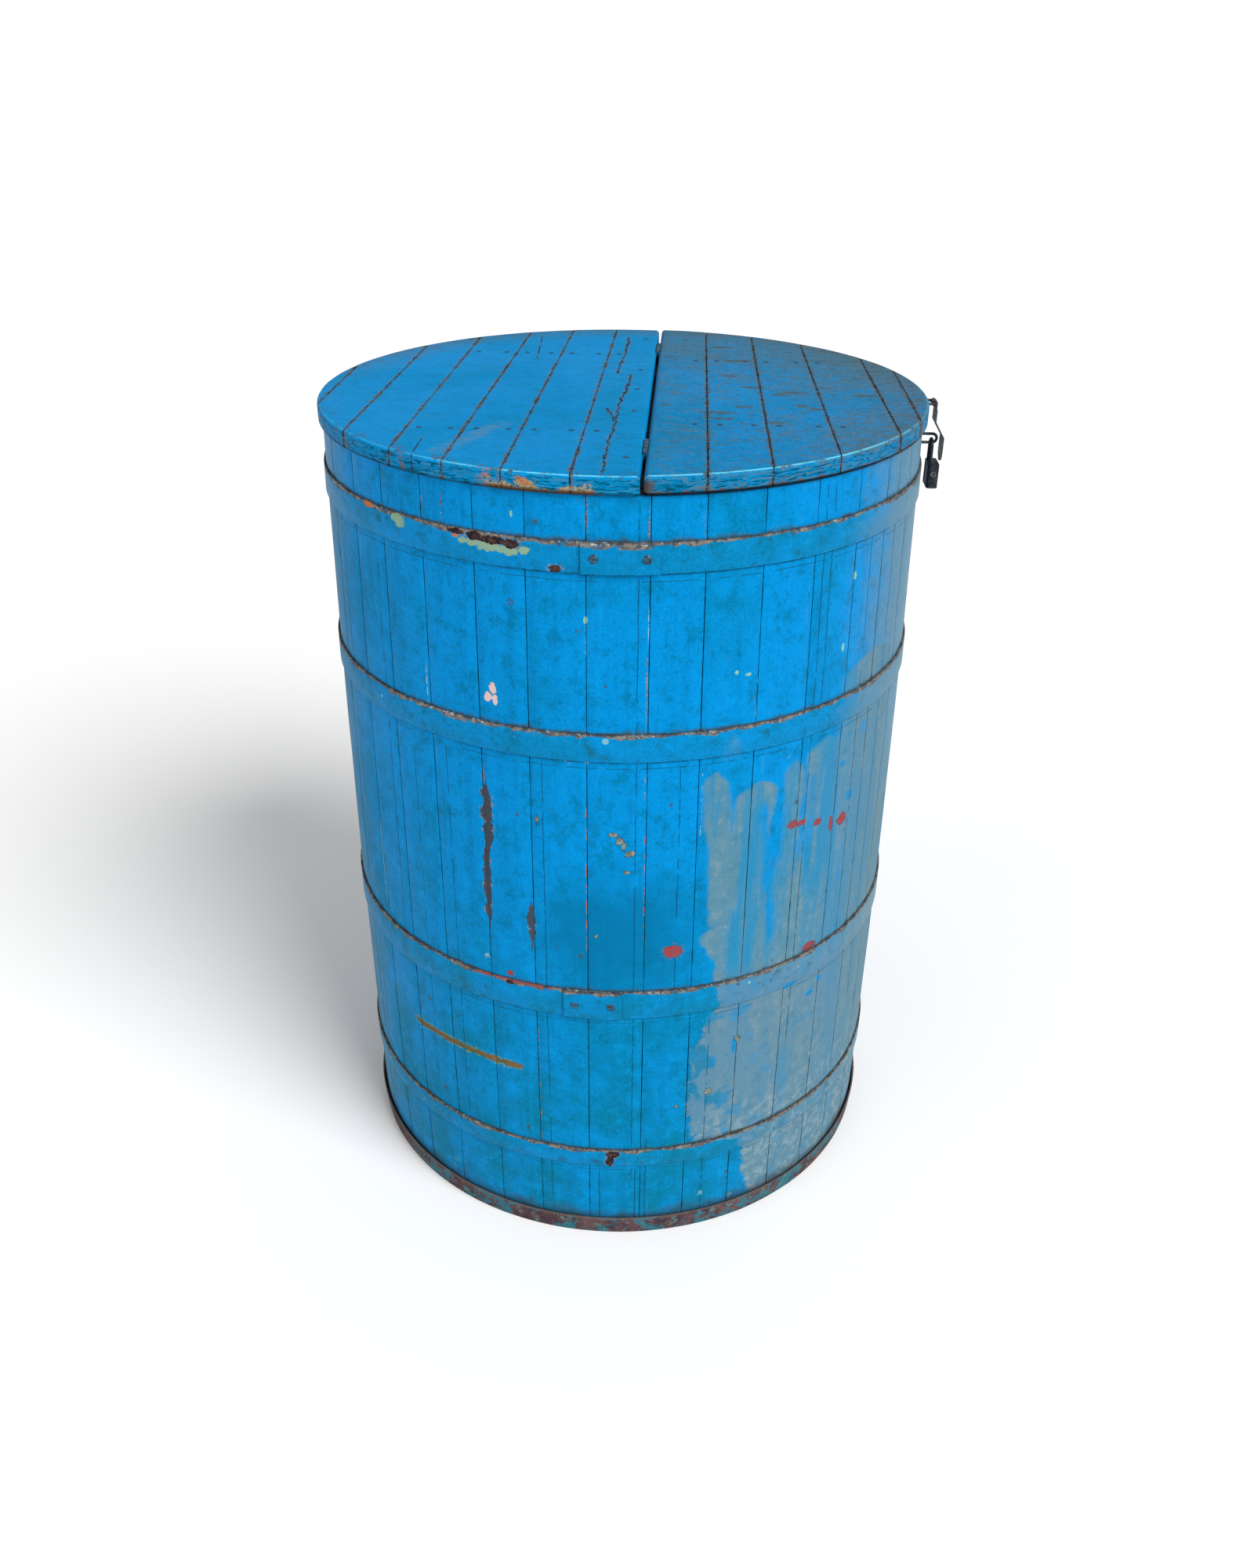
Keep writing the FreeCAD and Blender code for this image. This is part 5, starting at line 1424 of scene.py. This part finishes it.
def lock_block(low, high):
    """The lock's body with rounded corners and a shallow sunk panel in both broad faces."""
    fresh()
    bpy.ops.mesh.primitive_cube_add(size=1.0, location=(low + high) / 2)
    body = bpy.context.object
    body.scale = high - low
    fix_place(body)
    begin_edit(body)
    bevel_edges(body, lambda e: abs(e.verts[0].co.z - e.verts[1].co.z) > 0.02, LOCK_CORNER, 4)
    bevel_edges(body, lambda e: abs(e.verts[0].co.z - e.verts[1].co.z) < 0.0001
                and len(e.link_faces) == 2 and e.calc_face_angle(0) > 1.0, LOCK_EDGE, 2)
    choose(body, "FACE", lambda face: abs(face.normal.x) > 0.99 and face.calc_area() > 0.0004)
    bpy.ops.mesh.inset(thickness=PANEL_BORDER, use_individual=True)
    bpy.ops.mesh.inset(thickness=PANEL_DEPTH, depth=-PANEL_DEPTH, use_individual=True)
    turn_normals_out()
    end_edit()
    return body


def bore(body, place, radius, depth, turn=(0, 0, 0)):
    fresh()
    bpy.ops.mesh.primitive_cylinder_add(vertices=32, radius=radius, depth=depth, location=place,
                                        rotation=turn)
    tool = fix_place(bpy.context.object)
    apply_modifier(body, "BOOLEAN", object=tool, operation="DIFFERENCE", solver="EXACT")
    bpy.data.objects.remove(tool)


def build_lock_body():
    """The lock's case: its bores for plug and shackle, the keyhole's collar and four rivets."""
    low, high = (Vector(corner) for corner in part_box("padlock_body"))
    plug_low, plug_high = (Vector(corner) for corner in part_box("padlock_plug"))
    leg_low, leg_high = (Vector(corner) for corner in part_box("padlock_shackle"))
    plug_middle = (plug_low + plug_high) / 2
    plug_radius = (plug_high.z - plug_low.z) / 2
    leg_radius = (leg_high.x - leg_low.x) / 2
    sideways = (math.radians(90), 0, 0)
    body = lock_block(low, high)
    bore(body, (plug_middle.x, (plug_low.y + plug_high.y) / 2 - 0.001, plug_middle.z),
         plug_radius + BORE_ROOM, plug_high.y - plug_low.y + 0.003, sideways)
    for y, bite in ((leg_high.y - leg_radius, LONG_LEG_BORE), (leg_low.y + leg_radius, SHORT_LEG_BORE)):
        depth = bite + BORE_OVERRUN
        bore(body, (leg_low.x + leg_radius, y, high.z + BORE_OVERRUN - depth / 2),
             leg_radius + BORE_ROOM, depth)
    fresh()
    bpy.ops.mesh.primitive_torus_add(major_radius=plug_radius + COLLAR_OUT, minor_radius=COLLAR_ROUND,
                                     major_segments=40, minor_segments=10, rotation=sideways,
                                     location=(plug_middle.x, low.y - 0.0001, plug_middle.z))
    parts = [body, fix_place(bpy.context.object)]
    for y in (low.y + RIVET_INSET, high.y - RIVET_INSET):
        for z in (low.z + RIVET_INSET, high.z - RIVET_INSET):
            fresh()
            bpy.ops.mesh.primitive_uv_sphere_add(segments=16, ring_count=8, radius=RIVET_RADIUS,
                                                 location=(high.x - 0.0013, y, z))
            rivet = bpy.context.object
            rivet.scale = (0.7, 1, 1)
            parts.append(fix_place(rivet))
    piece = join(parts, "padlock_case")
    smooth(piece, 40)
    finish_piece(piece, "padlock_body", "lock_iron", materials["lock_iron"], ["padlock_body"])


build_staves()
for hoop in HOOP_LAPS:
    build_hoop(hoop)
build_lid()
build_lock_body()

# the pieces that keep their own shape get their finish here
for node, slot in slots.items():
    shape = frame["nodes"][node]
    if shape.hide_render:
        continue
    finish = battens if node.endswith("battens") else materials[slot]
    shape.data.materials.clear()
    shape.data.materials.append(finish)

# ------------------------------------------------------------------ floor, light and camera
fresh()
bpy.ops.mesh.primitive_plane_add(size=14.0, location=(0, 0, 0))
floor = bpy.context.object
floor.name = "floor"
pale_floor = new_material("pale_floor", Base_Color=(0.93, 0.93, 0.93, 1), Roughness=0.9,
                          Specular_IOR_Level=0.1)[0]
floor.data.materials.append(pale_floor)

world = bpy.data.worlds.new("studio")
world.use_nodes = True
sky = world.node_tree.nodes["Background"]
sky.inputs["Color"].default_value = (1.0, 1.0, 1.0, 1)
sky_light = Finish(world.node_tree)
seen = sky_light.node("ShaderNodeLightPath").outputs["Is Camera Ray"]
sky_light.feed(sky.inputs["Strength"], sky_light.ramp(seen, 0.0, 1.0, 0.44, 1.0))
bpy.context.scene.world = world


def far_light(name, place, width, strength):
    """An even light from far away; width in degrees sets how soft its shadows are."""
    light = bpy.data.lights.new(name, "SUN")
    light.angle = math.radians(width)
    light.energy = strength
    lamp = bpy.data.objects.new(name, light)
    lamp.rotation_euler = Vector(place).to_track_quat("Z", "Y").to_euler()
    bpy.context.collection.objects.link(lamp)


far_light("key", (1.0, -0.95, 1.15), 34, 3.2)
far_light("fill", (-1.0, -0.9, 0.22), 50, 0.9)

CAMERA_PLACE = Vector((0.092, -1.951, 1.651))
CAMERA_PITCH = math.radians(29.1)
CAMERA_HEADING = math.radians(-2.400)
CAMERA_ROLL = math.radians(0.564)
forward = Vector((math.sin(CAMERA_HEADING) * math.cos(CAMERA_PITCH),
                  math.cos(CAMERA_HEADING) * math.cos(CAMERA_PITCH), -math.sin(CAMERA_PITCH)))
level = Vector((math.cos(CAMERA_HEADING), -math.sin(CAMERA_HEADING), 0))
rise = level.cross(forward)
right_way = math.cos(CAMERA_ROLL) * level + math.sin(CAMERA_ROLL) * rise
up_way = -math.sin(CAMERA_ROLL) * level + math.cos(CAMERA_ROLL) * rise
turn = Matrix((right_way, up_way, -forward)).transposed().to_4x4()
lens = bpy.data.cameras.new("camera")
lens.lens = 31.74
lens.sensor_width = 36.0
camera = bpy.data.objects.new("camera", lens)
camera.matrix_world = Matrix.Translation(CAMERA_PLACE) @ turn
bpy.context.collection.objects.link(camera)
bpy.context.scene.camera = camera
bpy.context.scene.view_settings.view_transform = "Standard"
